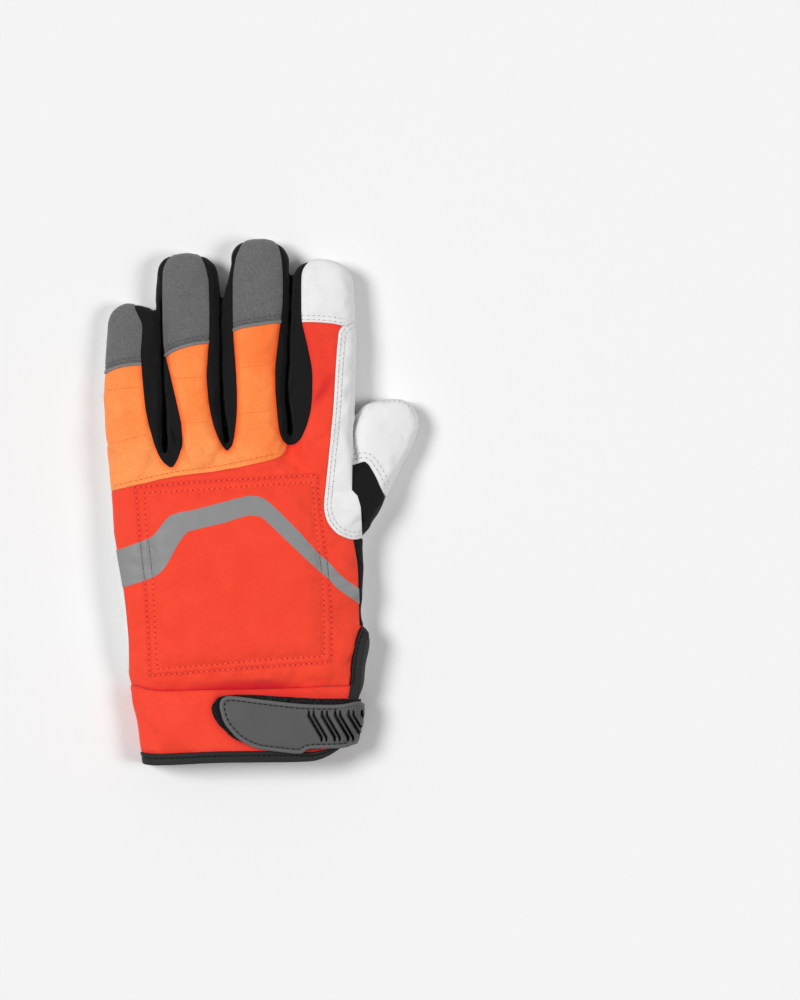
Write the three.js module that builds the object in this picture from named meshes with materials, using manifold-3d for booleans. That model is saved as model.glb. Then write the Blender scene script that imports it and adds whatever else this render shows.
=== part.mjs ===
// A work glove for the left hand, lying palm down on its flat palm, in millimetres.
// X runs to the thumb side, Y to the fingertips and Z up; the origin is under the middle.
import * as THREE from 'three';
import { mergeVertices } from 'three/addons/utils/BufferGeometryUtils.js';
import Module from 'manifold-3d';

const wasm = await Module();
wasm.setup();

// Driving dimensions
const WALL = 2.2;
const SEAM_GAP = 0.3;
const UNDERSIDE_DIP = 0.6;
const WAIST = 0.42;
const BACK_ROUNDNESS = 2.3;
const PALM_ROUNDNESS = 4.5;
const BODY_FACETS = 24;
const FINGER_FACETS = 12;
const HOLLOW_BODY_FACETS = 18;
const HOLLOW_FINGER_FACETS = 10;
const TIP_ROUNDNESS = 2.3;
const TIP_STATIONS = [0.5, 0.85, 1];
const TIP_SMALLEST = 0.2;
const TIP_HEIGHT_KEPT = 0.4;
const REACH = 150;
const HEM_TAPE_WIDTH = 5.6;
const TAPE_PROUD = 0.6;
const SLIT_START = -61;
const SLIT_LOW = 10.2;
const SLIT_HIGH = 12.6;
const LIP_TAPE_LOW = 5.4;
const STRIPE_THICK = 0.5;
const STRIPE_LOWEST = 12;
const STRAP_BACKING = { lift: 0.9, thick: 1.2 };
const STRAP_COVER = { lift: 2.4, thick: 2 };
const STRAP_TURN = 10.5;
const STRAP_UNDER_END = 22;
const STRAP_UNDER_EDGES = { low: -117.5, high: -99 };
const GUSSET_END = -16.6;
const THUMB_HEM_TOP = 21;
const PAST_RIGHT = 80;
const OVERRUN = 20;

// Cross-sections at a constant y: side edges, height of the back, and how far the
// thumb side of the underside is lifted by the strap that passes below it
const BODY = [
  { y: -132, left: -56.8, right: 38.8, top: 22.5, lift: 5.6 },
  { y: -122.6, left: -58.7, right: 42.4, top: 24, lift: 5.6 },
  { y: -106.8, left: -60.9, right: 46.9, top: 25, lift: 5.6 },
  { y: -97.4, left: -63.1, right: 47.6, top: 25, lift: 4.5 },
  { y: -90, left: -64.1, right: 50.2, top: 24.2, lift: 1 },
  { y: -81.2, left: -65.8, right: 51.1, top: 25.2, lift: 0 },
  { y: -66.4, left: -66.8, right: 53.2, top: 26, lift: 0 },
  { y: -57, left: -67.3, right: 50.1, top: 26.6, lift: 0 },
  { y: -42.7, left: -68.3, right: 50.8, top: 27.5, lift: 0 },
  { y: -26.4, left: -70.5, right: 51, top: 28, lift: 0 },
  { y: -3.7, left: -73.2, right: 49.2, top: 27, lift: 0 },
  { y: 8.1, left: -74.1, right: 45.8, top: 26, lift: 0 },
  { y: 23.4, left: -75.2, right: 44.7, top: 24.5, lift: 0 },
  { y: 33.8, left: -34.7, right: 43.7, top: 23, lift: 0 },
];

const FINGERS = [
  {
    tip: { x: -63.8, y: 97.9 },
    rows: [
      { y: 14, left: -74.2, right: -44.6, top: 23 },
      { y: 33.3, left: -76.2, right: -46.2, top: 20 },
      { y: 49.1, left: -77.3, right: -46.8, top: 18.4 },
      { y: 64.9, left: -76.9, right: -47.3, top: 17.4 },
      { y: 85.1, left: -75.2, right: -48, top: 16.4 },
    ],
  },
  {
    tip: { x: -34.7, y: 122.9 },
    rows: [
      { y: 14, left: -44.2, right: -16, top: 24.4 },
      { y: 33.3, left: -45.8, right: -16.6, top: 22.6 },
      { y: 49.1, left: -46.4, right: -18, top: 21 },
      { y: 64.9, left: -46.9, right: -18.5, top: 20 },
      { y: 84.1, left: -47.6, right: -18.9, top: 19.2 },
      { y: 96, left: -51.3, right: -19.1, top: 18.6 },
      { y: 110.8, left: -50.8, right: -20.4, top: 17.4 },
    ],
  },
  {
    tip: { x: 0.8, y: 130 },
    rows: [
      { y: 14, left: -15.4, right: 15.7, top: 25 },
      { y: 33.3, left: -16, right: 15.6, top: 23.4 },
      { y: 49.1, left: -17.4, right: 14.6, top: 22 },
      { y: 76.2, left: -18.2, right: 13.6, top: 20.4 },
      { y: 99.9, left: -18, right: 14.6, top: 19.4 },
      { y: 117.7, left: -14.3, right: 14.8, top: 17.8 },
    ],
  },
  {
    tip: { x: 30.9, y: 119.9 },
    rows: [
      { y: 14, left: 16.6, right: 45, top: 25 },
      { y: 33.3, left: 16.3, right: 45.5, top: 23 },
      { y: 49.1, left: 15.2, right: 46.1, top: 21.4 },
      { y: 76.2, left: 14.2, right: 46.5, top: 20 },
      { y: 89.1, left: 14.8, right: 46.5, top: 19.4 },
      { y: 107.8, left: 16.3, right: 45, top: 18 },
    ],
  },
];

// The thumb is drawn upright about its root and then turned towards its own side
const THUMB_ROOT = { x: 44.2, y: 1.2 };
const THUMB_TURN = THREE.MathUtils.degToRad(-22.7);
const THUMB = {
  tip: { x: 3.5, y: 54.4 },
  rows: [
    { y: -19.7, left: -5.9, right: 5.9, top: 20 },
    { y: -13.5, left: -5.9, right: 12.6, top: 21 },
    { y: -4.5, left: -7.4, right: 14.8, top: 21.4 },
    { y: 4.6, left: -7.9, right: 16.2, top: 21 },
    { y: 17.3, left: -5.4, right: 16, top: 20 },
    { y: 24.7, left: -8.4, right: 16.9, top: 19 },
    { y: 34.5, left: -12.3, right: 17.4, top: 18.4 },
    { y: 42, left: -11.9, right: 16.7, top: 17.6 },
  ],
};

// Height of the seam between palm and back along the glove
const PALM_SEAM = [
  { y: -REACH, z: 11.4 },
  { y: -20, z: 11.4 },
  { y: 10, z: 9.4 },
  { y: 40, z: 6.8 },
  { y: REACH, z: 6.8 },
];

// Black side strips between two fingers, seen from above, from the tips to the crotch
const WEBS = {
  web_little_ring: [
    { y: 124.6, left: -61.4, right: -41.6 },
    { y: 113.2, left: -61.4, right: -46.8 },
    { y: 97, left: -61.4, right: -46 },
    { y: 87.6, left: -57.4, right: -45.4 },
    { y: 71.8, left: -58.3, right: -45.8 },
    { y: 46.6, left: -56, right: -40.2 },
    { y: 27.9, left: -51.5, right: -38.2 },
    { y: 21, left: -48.1, right: -40.7 },
    { y: 17.5, left: -44.1, right: -42.6 },
  ],
  web_ring_middle: [
    { y: 132, left: -30.8, right: -8.1 },
    { y: 123.1, left: -30.8, right: -11.1 },
    { y: 115.7, left: -27.8, right: -13 },
    { y: 107.8, left: -24.9, right: -13.3 },
    { y: 84.1, left: -24.6, right: -13 },
    { y: 60.9, left: -25.9, right: -11.6 },
    { y: 37.3, left: -22.3, right: -12 },
    { y: 27.9, left: -18, right: -13.5 },
    { y: 25.9, left: -16.5, right: -15.5 },
  ],
  web_middle_index: [
    { y: 133.5, left: 8.7, right: 25 },
    { y: 128.8, left: 8.7, right: 25 },
    { y: 118.7, left: 10.5, right: 24.5 },
    { y: 110.3, left: 11.2, right: 20.5 },
    { y: 89.1, left: 10.7, right: 20.5 },
    { y: 64.9, left: 7.8, right: 25.5 },
    { y: 51.1, left: 8.3, right: 25.5 },
    { y: 36.3, left: 9.5, right: 22.5 },
    { y: 29.9, left: 12.6, right: 19 },
    { y: 27.9, left: 14.6, right: 16.1 },
  ],
};

// Finger caps: the strip of x that each takes, and its hem's height at both ends of it
const CAPS = {
  cap_little: { from: -90, to: -53, fromHem: 59.2, toHem: 69.4, end: 112 },
  cap_ring: { from: -53, to: -20, fromHem: 70.8, toHem: 79.7, end: 130 },
  cap_middle: { from: -20, to: 13, fromHem: 83.5, toHem: 89, end: 136 },
  cap_index: { from: 13, to: 60, fromHem: 89.6, toHem: 86.6, end: 130 },
};

// Seam lines seen from above, as [x, y]
const GUARD_INNER_EDGE = [
  [41, 87.2], [38.3, 83.6], [36.8, 60.9], [34.3, 29.4], [31.4, -0.2], [32.9, -7.6], [40.8, -16.5],
  [46.2, -18.3], [50.1, -16.8],
];
const THUMB_INNER_EDGE = [[49.5, 62], [47, 45], [45.95, 38], [45.65, 27], [45.6, 18.3]];
const THUMB_HEM = [[45.6, 18.3], [50.6, 20], [53.1, 19], [57, 13.1], [60, 6.7], [63, 1.4], [70, -8]];
const GUSSET_INNER_EDGE = [
  [50.4, GUSSET_END], [49.7, -2.2], [48.2, 3.2], [45.4, 6.2], [45.3, THUMB_HEM_TOP],
];
const SIDE_GUSSET_INNER_EDGE = [[45.6, -14], [48.4, -30.3], [48.9, -42.7], [49.4, -60.5]];
const KNUCKLE_SEAM = [[-90, 2.6], [-72.7, 5.7], [-42.6, 12.6], [-18.5, 16], [9.2, 22], [14, 30]];
const CUFF_SEAM = [
  [-80, -89], [-63.6, -90], [-50, -92.5], [-25.4, -92], [3.7, -91.5], [44.7, -90], [70, -89.4],
];
const HEM = [
  [-75, -127.5], [-59, -128.5], [-54, -130], [-16, -128.3], [23, -127.9], [31, -126.6],
  [38.3, -122.4], [46, -115],
];
const LIP_TAPE_EDGE = [
  [49.2, SLIT_START], [46.7, -70.3], [45.2, -80.2], [44.6, -90], [43.4, -98], [41, -112],
];
const STRIPE_UPPER_EDGE = [
  [-72, -24.3], [-59.2, -19.5], [-51, -14.1], [-46.6, -8.6], [-42.6, -5.7], [-8.1, 2.7], [-2.4, 3.2],
  [1.8, 1.2], [28.9, -24.9], [48.6, -42.2],
];
const STRIPE_LOWER_EDGE = [
  [48.6, -49.6], [33.8, -37.3], [3.3, -9.1], [-1.2, -6.7], [-6.6, -6.7], [-32.8, -13.8], [-35.7, -15],
  [-39.7, -20.5], [-44.6, -29.4], [-47.6, -33.6], [-53.6, -37.3], [-72, -43.3],
];
const STRAP_BACKING_EDGE = [
  [62, -97.4], [43.2, -97], [9.7, -95.5], [-18.9, -95.3], [-23.6, -100.4], [-23.6, -103], [-17.5, -111.3],
  [-8, -118], [20, -121.5], [42, -119.5], [62, -117.5],
];
const STRAP_COVER_EDGE = [
  [62, -98], [49.8, -98], [38.3, -100], [21, -99.9], [-13, -96], [-19.4, -97], [-20.4, -100.4],
  [-18.5, -108.3], [-10.1, -117.9], [-1.7, -121.9], [20.5, -123.9], [41, -121.3], [62, -118],
];

const FABRIC_ORANGE = { color: '#fd8540', roughness: 0.85, metalness: 0 };
const FABRIC_RED = { color: '#f84b37', roughness: 0.85, metalness: 0 };
const SUEDE_GREY = { color: '#696969', roughness: 0.95, metalness: 0 };
const STRETCH_BLACK = { color: '#1c1c1c', roughness: 0.9, metalness: 0 };
const LEATHER_WHITE = { color: '#e8e8e8', roughness: 0.6, metalness: 0 };
const FILM_SILVER = { color: '#939393', roughness: 0.4, metalness: 0.2 };
const RUBBER_GREY = { color: '#606060', roughness: 0.6, metalness: 0 };
const TAPE_BLACK = { color: '#2d2d2d', roughness: 0.85, metalness: 0 };

// Solids

function toSolid(geometry) {
  geometry.deleteAttribute('normal');
  geometry.deleteAttribute('uv');
  const merged = mergeVertices(geometry, 1e-4);
  const mesh = new wasm.Mesh({
    numProp: 3,
    vertProperties: Float32Array.from(merged.attributes.position.array),
    triVerts: Uint32Array.from(merged.index.array),
  });
  return new wasm.Manifold(mesh);
}

function toGeometry(solid) {
  const mesh = solid.getMesh();
  const geometry = new THREE.BufferGeometry();
  geometry.setAttribute('position', new THREE.BufferAttribute(Float32Array.from(mesh.vertProperties), 3));
  geometry.setIndex(Array.from(mesh.triVerts));
  geometry.computeVertexNormals();
  return geometry;
}

function unite(solids) {
  return solids.reduce((whole, solid) => whole.add(solid));
}

function box(low, high) {
  const size = high.map((value, axis) => value - low[axis]);
  const geometry = new THREE.BoxGeometry(...size);
  geometry.translate(...size.map((value, axis) => low[axis] + value / 2));
  return toSolid(geometry);
}

// A level slab between two heights
function slab(low, high) {
  return box([-REACH, -REACH, low], [REACH, REACH, high]);
}

function toPoints(pairs) {
  return pairs.map(([x, y]) => new THREE.Vector2(x, y));
}

function smooth(pairs, steps) {
  return new THREE.SplineCurve(toPoints(pairs)).getPoints(steps);
}

// An outline moved outwards on all sides
function grow(outline, distance) {
  const count = outline.length;
  const turn = Math.sign(THREE.ShapeUtils.area(outline));
  return outline.map((point, i) => {
    const before = outline[(i + count - 1) % count];
    const after = outline[(i + 1) % count];
    const arriving = point.clone().sub(before).normalize();
    const leaving = after.clone().sub(point).normalize();
    const outwards = new THREE.Vector2(arriving.y + leaving.y, -arriving.x - leaving.x).normalize();
    const stretch = Math.max(0.5, outwards.x * arriving.y - outwards.y * arriving.x);
    return point.clone().addScaledVector(outwards, (turn * distance) / stretch);
  });
}

function prism(outline, low = -REACH, high = REACH) {
  const geometry = new THREE.ExtrudeGeometry(new THREE.Shape(outline), {
    depth: high - low,
    bevelEnabled: false,
  });
  geometry.translate(0, 0, low);
  return toSolid(geometry);
}

// Everything below the seam that joins palm and back, raised or lowered by an offset
function belowPalmSeam(offset) {
  const profile = PALM_SEAM.map(({ y, z }) => new THREE.Vector2(y, z + offset));
  profile.push(new THREE.Vector2(REACH, -REACH), new THREE.Vector2(-REACH, -REACH));
  const geometry = new THREE.ExtrudeGeometry(new THREE.Shape(profile), {
    depth: 2 * REACH,
    bevelEnabled: false,
  });
  const across = new THREE.Matrix4().makeBasis(
    new THREE.Vector3(0, 1, 0),
    new THREE.Vector3(0, 0, 1),
    new THREE.Vector3(1, 0, 0),
  );
  geometry.applyMatrix4(across);
  geometry.translate(-REACH, 0, 0);
  return toSolid(geometry);
}

// Sections and lofts

// A flattened oval: rounder on the back, nearly flat on the palm
function section({ y, left, right, top, bottom, lift = 0 }, facets) {
  const middle = (left + right) / 2;
  const half = (right - left) / 2;
  const waist = bottom + WAIST * (top - bottom);
  const ring = [];
  for (let i = 0; i < facets; i += 1) {
    const angle = (2 * Math.PI * i) / facets;
    const side = Math.cos(angle);
    const rise = Math.sin(angle);
    const power = 2 / (rise > 0 ? BACK_ROUNDNESS : PALM_ROUNDNESS);
    const x = middle + half * Math.sign(side) * Math.abs(side) ** power;
    const below = waist - bottom - (lift * (x - left)) / (right - left);
    const reach = rise > 0 ? top - waist : below;
    ring.push(new THREE.Vector3(x, y, waist + reach * Math.sign(rise) * Math.abs(rise) ** power));
  }
  return ring;
}

// A closed solid through rings of equal count, with a flat end on the first and last
function loft(rings) {
  const facets = rings[0].length;
  const positions = rings.flat().flatMap((point) => point.toArray());
  const triangles = [];
  for (let row = 0; row < rings.length - 1; row += 1) {
    for (let i = 0; i < facets; i += 1) {
      const a = row * facets + i;
      const b = row * facets + ((i + 1) % facets);
      triangles.push(a, a + facets, b + facets, a, b + facets, b);
    }
  }
  for (const last of [false, true]) {
    const ring = last ? rings[rings.length - 1] : rings[0];
    const centre = ring.reduce((sum, point) => sum.add(point), new THREE.Vector3());
    const hub = positions.length / 3;
    const start = last ? (rings.length - 1) * facets : 0;
    positions.push(...centre.divideScalar(facets).toArray());
    for (let i = 0; i < facets; i += 1) {
      const a = start + i;
      const b = start + ((i + 1) % facets);
      triangles.push(hub, last ? b : a, last ? a : b);
    }
  }
  const geometry = new THREE.BufferGeometry();
  geometry.setAttribute('position', new THREE.Float32BufferAttribute(positions, 3));
  geometry.setIndex(triangles);
  return geometry;
}

// A row moved inwards by a wall, or outwards by a negative one
function inset(row, wall) {
  return {
    ...row,
    left: row.left + wall,
    right: row.right - wall,
    top: row.top - wall,
    bottom: wall - (wall > 0 ? 0 : UNDERSIDE_DIP),
  };
}

// The rows of a finger, with the rounding of its tip added
function fingerRows({ tip, rows }, wall) {
  const last = rows[rows.length - 1];
  const half = (last.right - last.left) / 2;
  const middle = (last.right + last.left) / 2;
  const waist = WAIST * last.top;
  const rounded = TIP_STATIONS.map((part) => {
    const size = Math.max(TIP_SMALLEST, (1 - part ** TIP_ROUNDNESS) ** (1 / TIP_ROUNDNESS));
    const height = TIP_HEIGHT_KEPT + (1 - TIP_HEIGHT_KEPT) * size;
    const centre = THREE.MathUtils.lerp(middle, tip.x, part);
    return {
      y: THREE.MathUtils.lerp(last.y, tip.y - wall, part),
      left: centre - half * size,
      right: centre + half * size,
      top: waist + (last.top - waist) * height,
      rise: waist * (1 - height),
    };
  });
  return [...rows, ...rounded].map((row) => {
    const fitted = inset(row, Math.min(wall, (row.right - row.left) / 3));
    return { ...fitted, bottom: fitted.bottom + (row.rise ?? 0) };
  });
}

function bodySolid(wall, past = 0) {
  const facets = wall > 0 ? HOLLOW_BODY_FACETS : BODY_FACETS;
  const rows = BODY.map((row) => inset(row, wall));
  rows[0].y -= past;
  rows[rows.length - 1].y -= wall;
  return toSolid(loft(rows.map((row) => section(row, facets))));
}

function fingerLoft(finger, wall) {
  const facets = wall > 0 ? HOLLOW_FINGER_FACETS : FINGER_FACETS;
  return loft(fingerRows(finger, wall).map((row) => section(row, facets)));
}

function thumbSolid(wall) {
  const geometry = fingerLoft(THUMB, wall);
  geometry.rotateZ(THUMB_TURN);
  geometry.translate(THUMB_ROOT.x, THUMB_ROOT.y, 0);
  return toSolid(geometry);
}

function handSolid(wall, past = 0) {
  const fingers = FINGERS.map((finger) => toSolid(fingerLoft(finger, wall)));
  return unite([bodySolid(wall, past), thumbSolid(wall), ...fingers]);
}

// Zones seen from above

const aboveFloor = slab(0, REACH);

function webOutline(rows) {
  const left = rows.map(({ y, left: x }) => [x, y]);
  const right = rows.map(({ y, right: x }) => [x, y]);
  return [...smooth(left, 10), ...smooth(right, 10).reverse()];
}

function capOutline({ from, to, fromHem, toHem, end }) {
  return toPoints([[from, fromHem], [to, toHem], [to, end], [from, end]]);
}

// The zone on the side of a seam line that a far corner lies on
function sideOf(line, ...corners) {
  return [...line, ...toPoints(corners)];
}

// Everything towards the fingers from the hem, or from a line parallel to it
function aboveHem(rise) {
  const line = smooth(HEM, 14).map((point) => new THREE.Vector2(point.x, point.y + rise));
  const ends = [line[line.length - 1].y, line[0].y];
  return sideOf(line, [REACH, ends[0]], [REACH, REACH], [-REACH, REACH], [-REACH, ends[1]]);
}

const zones = {
  thumb: sideOf([...toPoints(THUMB_INNER_EDGE), ...smooth(THUMB_HEM, 8)], [REACH, -8], [REACH, 62]),
  gusset: sideOf(toPoints(GUSSET_INNER_EDGE), [PAST_RIGHT, THUMB_HEM_TOP], [PAST_RIGHT, GUSSET_END]),
  sideGusset: sideOf(toPoints(SIDE_GUSSET_INNER_EDGE), [PAST_RIGHT, -60.5], [PAST_RIGHT, -14]),
  guard: sideOf(smooth(GUARD_INNER_EDGE, 10), [PAST_RIGHT, -16.8], [PAST_RIGHT, 87.2]),
  knuckle: sideOf(smooth(KNUCKLE_SEAM, 8), [14, REACH], [-90, REACH]),
  cuff: sideOf(smooth(CUFF_SEAM, 7), [70, -REACH], [-80, -REACH]),
  lipTape: sideOf(smooth(LIP_TAPE_EDGE, 6), [41, -REACH], [PAST_RIGHT, -REACH], [PAST_RIGHT, SLIT_START]),
};

// The hollow hand with one wall all round, trimmed to the hem

const hollow = handSolid(WALL, OVERRUN);
const hand = handSolid(0).intersect(aboveFloor).subtract(hollow).intersect(prism(aboveHem(0)));
const slit = box([STRAP_UNDER_END, -REACH, SLIT_LOW], [PAST_RIGHT, SLIT_START, SLIT_HIGH]);

// Takes a zone out of a store of material, and leaves the seam's gap round it
function cutPiece(store, outline, low, high) {
  const piece = store.rest.intersect(prism(outline, low, high));
  store.rest = store.rest.subtract(prism(grow(outline, SEAM_GAP), low, high));
  return piece;
}

// The tape round the hem and the two lips of the slit
function edgeBinding() {
  const band = bodySolid(-TAPE_PROUD).intersect(aboveFloor).subtract(hollow);
  const hem = band.intersect(prism(aboveHem(0))).subtract(prism(aboveHem(HEM_TAPE_WIDTH)));
  const lips = band.intersect(prism(zones.lipTape)).intersect(prism(aboveHem(0)));
  const backLip = lips.intersect(slab(SLIT_HIGH, REACH));
  const palmLip = lips.intersect(slab(LIP_TAPE_LOW, SLIT_LOW));
  return unite([hem, backLip, palmLip]).subtract(slit);
}

// What the binding takes from the walls, with its gap
function bindingRoom() {
  const hem = prism(aboveHem(-OVERRUN)).subtract(prism(aboveHem(HEM_TAPE_WIDTH + SEAM_GAP)));
  const grownLip = grow(zones.lipTape, SEAM_GAP);
  return unite([
    hem,
    prism(grownLip, SLIT_HIGH - SEAM_GAP, REACH),
    prism(grownLip, LIP_TAPE_LOW - SEAM_GAP, SLIT_LOW + SEAM_GAP),
  ]);
}

function layer(outline, { lift, thick }, low) {
  const skin = bodySolid(-lift - thick).subtract(bodySolid(-lift, 1));
  return skin.intersect(prism(outline, low, REACH));
}

function strapLayer(outline, size) {
  const over = layer(outline, size, STRAP_TURN);
  const underEdge = toPoints([
    [STRAP_UNDER_END, STRAP_UNDER_EDGES.high],
    [PAST_RIGHT, STRAP_UNDER_EDGES.high],
    [PAST_RIGHT, STRAP_UNDER_EDGES.low],
    [STRAP_UNDER_END, STRAP_UNDER_EDGES.low],
  ]);
  const under = layer(underEdge, size, -REACH).intersect(slab(-REACH, STRAP_TURN));
  return unite([over, under]).intersect(aboveFloor);
}

const whole = { rest: hand.subtract(slit).subtract(bindingRoom()) };
const pieces = {};
pieces.thumb_leather = [cutPiece(whole, zones.thumb), LEATHER_WHITE];
pieces.cuff_band = [cutPiece(whole, zones.cuff), FABRIC_RED];
pieces.palm_leather = [whole.rest.intersect(belowPalmSeam(-SEAM_GAP / 2)), LEATHER_WHITE];

const back = { rest: whole.rest.subtract(belowPalmSeam(SEAM_GAP / 2)) };
for (const [name, rows] of Object.entries(WEBS)) {
  pieces[name] = [cutPiece(back, webOutline(rows)), STRETCH_BLACK];
}
pieces.thumb_gusset = [cutPiece(back, zones.gusset), STRETCH_BLACK];
for (const [name, cap] of Object.entries(CAPS)) {
  const finish = name === 'cap_index' ? LEATHER_WHITE : SUEDE_GREY;
  pieces[name] = [cutPiece(back, capOutline(cap)), finish];
}
pieces.index_guard = [cutPiece(back, zones.guard), LEATHER_WHITE];
pieces.side_gusset = [cutPiece(back, zones.sideGusset), STRETCH_BLACK];
pieces.knuckle_panel = [cutPiece(back, zones.knuckle), FABRIC_ORANGE];
pieces.back_panel = [back.rest, FABRIC_RED];

const stripe = { lift: SEAM_GAP, thick: STRIPE_THICK };
const stripeOutline = toPoints([...STRIPE_UPPER_EDGE, ...STRIPE_LOWER_EDGE]);
pieces.reflective_stripe = [layer(stripeOutline, stripe, STRIPE_LOWEST), FILM_SILVER];
pieces.edge_binding = [edgeBinding(), TAPE_BLACK];
pieces.strap_backing = [strapLayer(toPoints(STRAP_BACKING_EDGE), STRAP_BACKING), TAPE_BLACK];
pieces.strap_cover = [strapLayer(toPoints(STRAP_COVER_EDGE), STRAP_COVER), RUBBER_GREY];

const glove = new THREE.Group();
for (const [name, [solid, finish]] of Object.entries(pieces)) {
  const mesh = new THREE.Mesh(toGeometry(solid), new THREE.MeshStandardMaterial(finish));
  mesh.name = name;
  glove.add(mesh);
}

export default glove;
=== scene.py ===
"""A padded work glove for the left hand, lying palm down, sewn from fabric, suede and leather.

X runs to the thumb side, Y to the fingertips and Z up. Tables are in millimetres.
"""

import math

import bpy
import numpy as np
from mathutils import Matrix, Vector
from mathutils.bvhtree import BVHTree
from mathutils.kdtree import KDTree


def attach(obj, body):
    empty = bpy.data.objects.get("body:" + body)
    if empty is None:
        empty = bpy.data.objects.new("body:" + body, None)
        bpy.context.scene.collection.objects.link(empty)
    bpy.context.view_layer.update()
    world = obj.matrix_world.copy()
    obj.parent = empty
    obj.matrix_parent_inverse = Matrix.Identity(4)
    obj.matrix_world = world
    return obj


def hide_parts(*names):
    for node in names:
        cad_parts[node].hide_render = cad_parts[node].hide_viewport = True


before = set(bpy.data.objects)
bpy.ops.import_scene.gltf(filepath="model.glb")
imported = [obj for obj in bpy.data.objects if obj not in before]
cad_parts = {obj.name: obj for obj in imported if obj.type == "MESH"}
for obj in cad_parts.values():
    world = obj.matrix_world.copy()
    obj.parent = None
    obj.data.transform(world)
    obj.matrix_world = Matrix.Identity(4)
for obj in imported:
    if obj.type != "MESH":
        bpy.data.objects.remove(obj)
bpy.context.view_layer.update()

MM = 0.001
REACH = 150.0
SEAM_GAP = 0.12
LINE_STEP = 1.2
RIPPLE_WAVES = 9
VOXEL = 0.84
FINE_VOXEL = 0.45
COVER_VOXEL = 0.31
SMOOTH_BELOW = math.radians(50)

# The cloth simulation: its mesh, pressure, length and quality, how far it may move the skin, and the
# places that it leaves as they are
SWELL_VOXEL = 2.6
SWELL_PRESSURE = 4.0
SWELL_STEPS = 20
SWELL_QUALITY = 5
SWELL_GROWTH = 0.035
SWELL_MOST = 1.4
SWELL_NEIGHBOURS = 5
HELD_BELOW = 11
HELD_FACING = 0.35
HELD_BESIDE_SEAM = 0.55
STILL_SIDE = (-67, -57)
STILL_UP_TO = (4, 20)

# The shape of the hand. Rows of the body: y, left edge, right edge, height of the back, and lift of the
# underside at the thumb side. Rows of fingers and thumb have no lift.
BODY = [
    (-132, -56.4, 38.8, 22.5, 5.6),
    (-122.6, -58.3, 42.4, 24, 5.6),
    (-106.8, -60.4, 46.9, 25, 5.6),
    (-97.4, -62.6, 47.6, 25, 4.5),
    (-90, -63.6, 50.2, 24.2, 1),
    (-81.2, -65.8, 51.1, 25.2, 0),
    (-66.4, -67.7, 53.2, 26, 0),
    (-57, -69, 50.1, 26.6, 0),
    (-42.7, -70.2, 50.8, 27.5, 0),
    (-26.4, -71.2, 51, 28, 0),
    (-3.7, -72.6, 49.6, 27, 0),
    (8.1, -73.4, 48.6, 26, 0),
    (17, -74.1, 45, 24, 0),
    (26, -73.4, 44, 19, 0),
    (33.8, -64.7, 42, 12, 0),
]
LITTLE = {
    "tip": (-65.4, 97.5),
    "round": (2.0, 2.4),
    "rows": [
        (-24, -68, -44, 9),
        (-8, -71.5, -44, 18.5),
        (8, -73.3, -44.2, 22),
        (20, -74.3, -45, 22.4),
        (33.3, -75.5, -46.0, 20.4),
        (49.1, -76.6, -46.8, 18.4),
        (64.9, -76.3, -47.3, 17.4),
        (85.1, -75, -48, 16.4),
    ],
}
RING = {
    "tip": (-34.7, 122.1),
    "round": (2.9, 2.2),
    "rows": [
        (-24, -44, -15.4, 9),
        (-8, -44.4, -15.4, 18.5),
        (8, -44.6, -15.4, 23.4),
        (20, -45, -15.8, 24.4),
        (33.3, -46.0, -16.4, 22.8),
        (49.1, -46.6, -17.8, 21),
        (64.9, -46.9, -18.5, 20),
        (84.1, -47.6, -18.9, 19.2),
        (96, -51.3, -19.1, 18.6),
        (110.8, -50.8, -20.4, 17.4),
    ],
}
MIDDLE = {
    "tip": (0.8, 129.3),
    "round": (2.9, 2.2),
    "rows": [
        (-24, -15.6, 15.9, 9),
        (-8, -15.6, 15.9, 18.5),
        (8, -15.6, 15.9, 24),
        (20, -15.8, 16, 25),
        (33.3, -16.4, 15.8, 23.6),
        (49.1, -17.8, 14.4, 22),
        (76.2, -18.4, 13.8, 20.4),
        (99.9, -18, 14.6, 19.4),
        (117.7, -14.3, 14.4, 17.8),
    ],
}
INDEX = {
    "tip": (30.7, 119),
    "round": (2.8, 2.0),
    "rows": [
        (-24, 15.9, 49, 9),
        (-8, 15.9, 50, 18.5),
        (8, 15.9, 49.4, 23),
        (20, 15.7, 47.6, 24.2),
        (33.3, 15.4, 45.7, 23),
        (49.1, 14.2, 46.1, 21.4),
        (76.2, 13.8, 46.5, 20),
        (89.1, 14.6, 46.5, 19.4),
        (107.8, 16.2, 45.2, 18),
    ],
}
THUMB = {
    "tip": (6, 55.2),
    "round": (1.6, 2.0),
    "rows": [
        (-19.7, -7.9, 5.9, 20),
        (-13.5, -10, 12.6, 21.6),
        (-4.5, -11, 14.8, 22.4),
        (4.6, -10.4, 16.2, 21.6),
        (17.3, -9.6, 16, 19),
        (24.7, -13.4, 16.7, 17.8),
        (34.5, -14.6, 17.7, 17),
        (42, -12.3, 17.3, 16.4),
    ],
}
THUMB_ROOT = (44.2, 1.2)
THUMB_TURN = math.radians(-22.7)
WAIST = 0.42
BACK_ROUNDNESS = 2.5
LEATHER_ROUNDNESS = 3.2
PALM_ROUNDNESS = 4.5
TIP_HEIGHT_KEPT = 0.4
TIP_SMALLEST = 0.1
TUBE_SIDES = 96
TUBE_RINGS = 70

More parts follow.
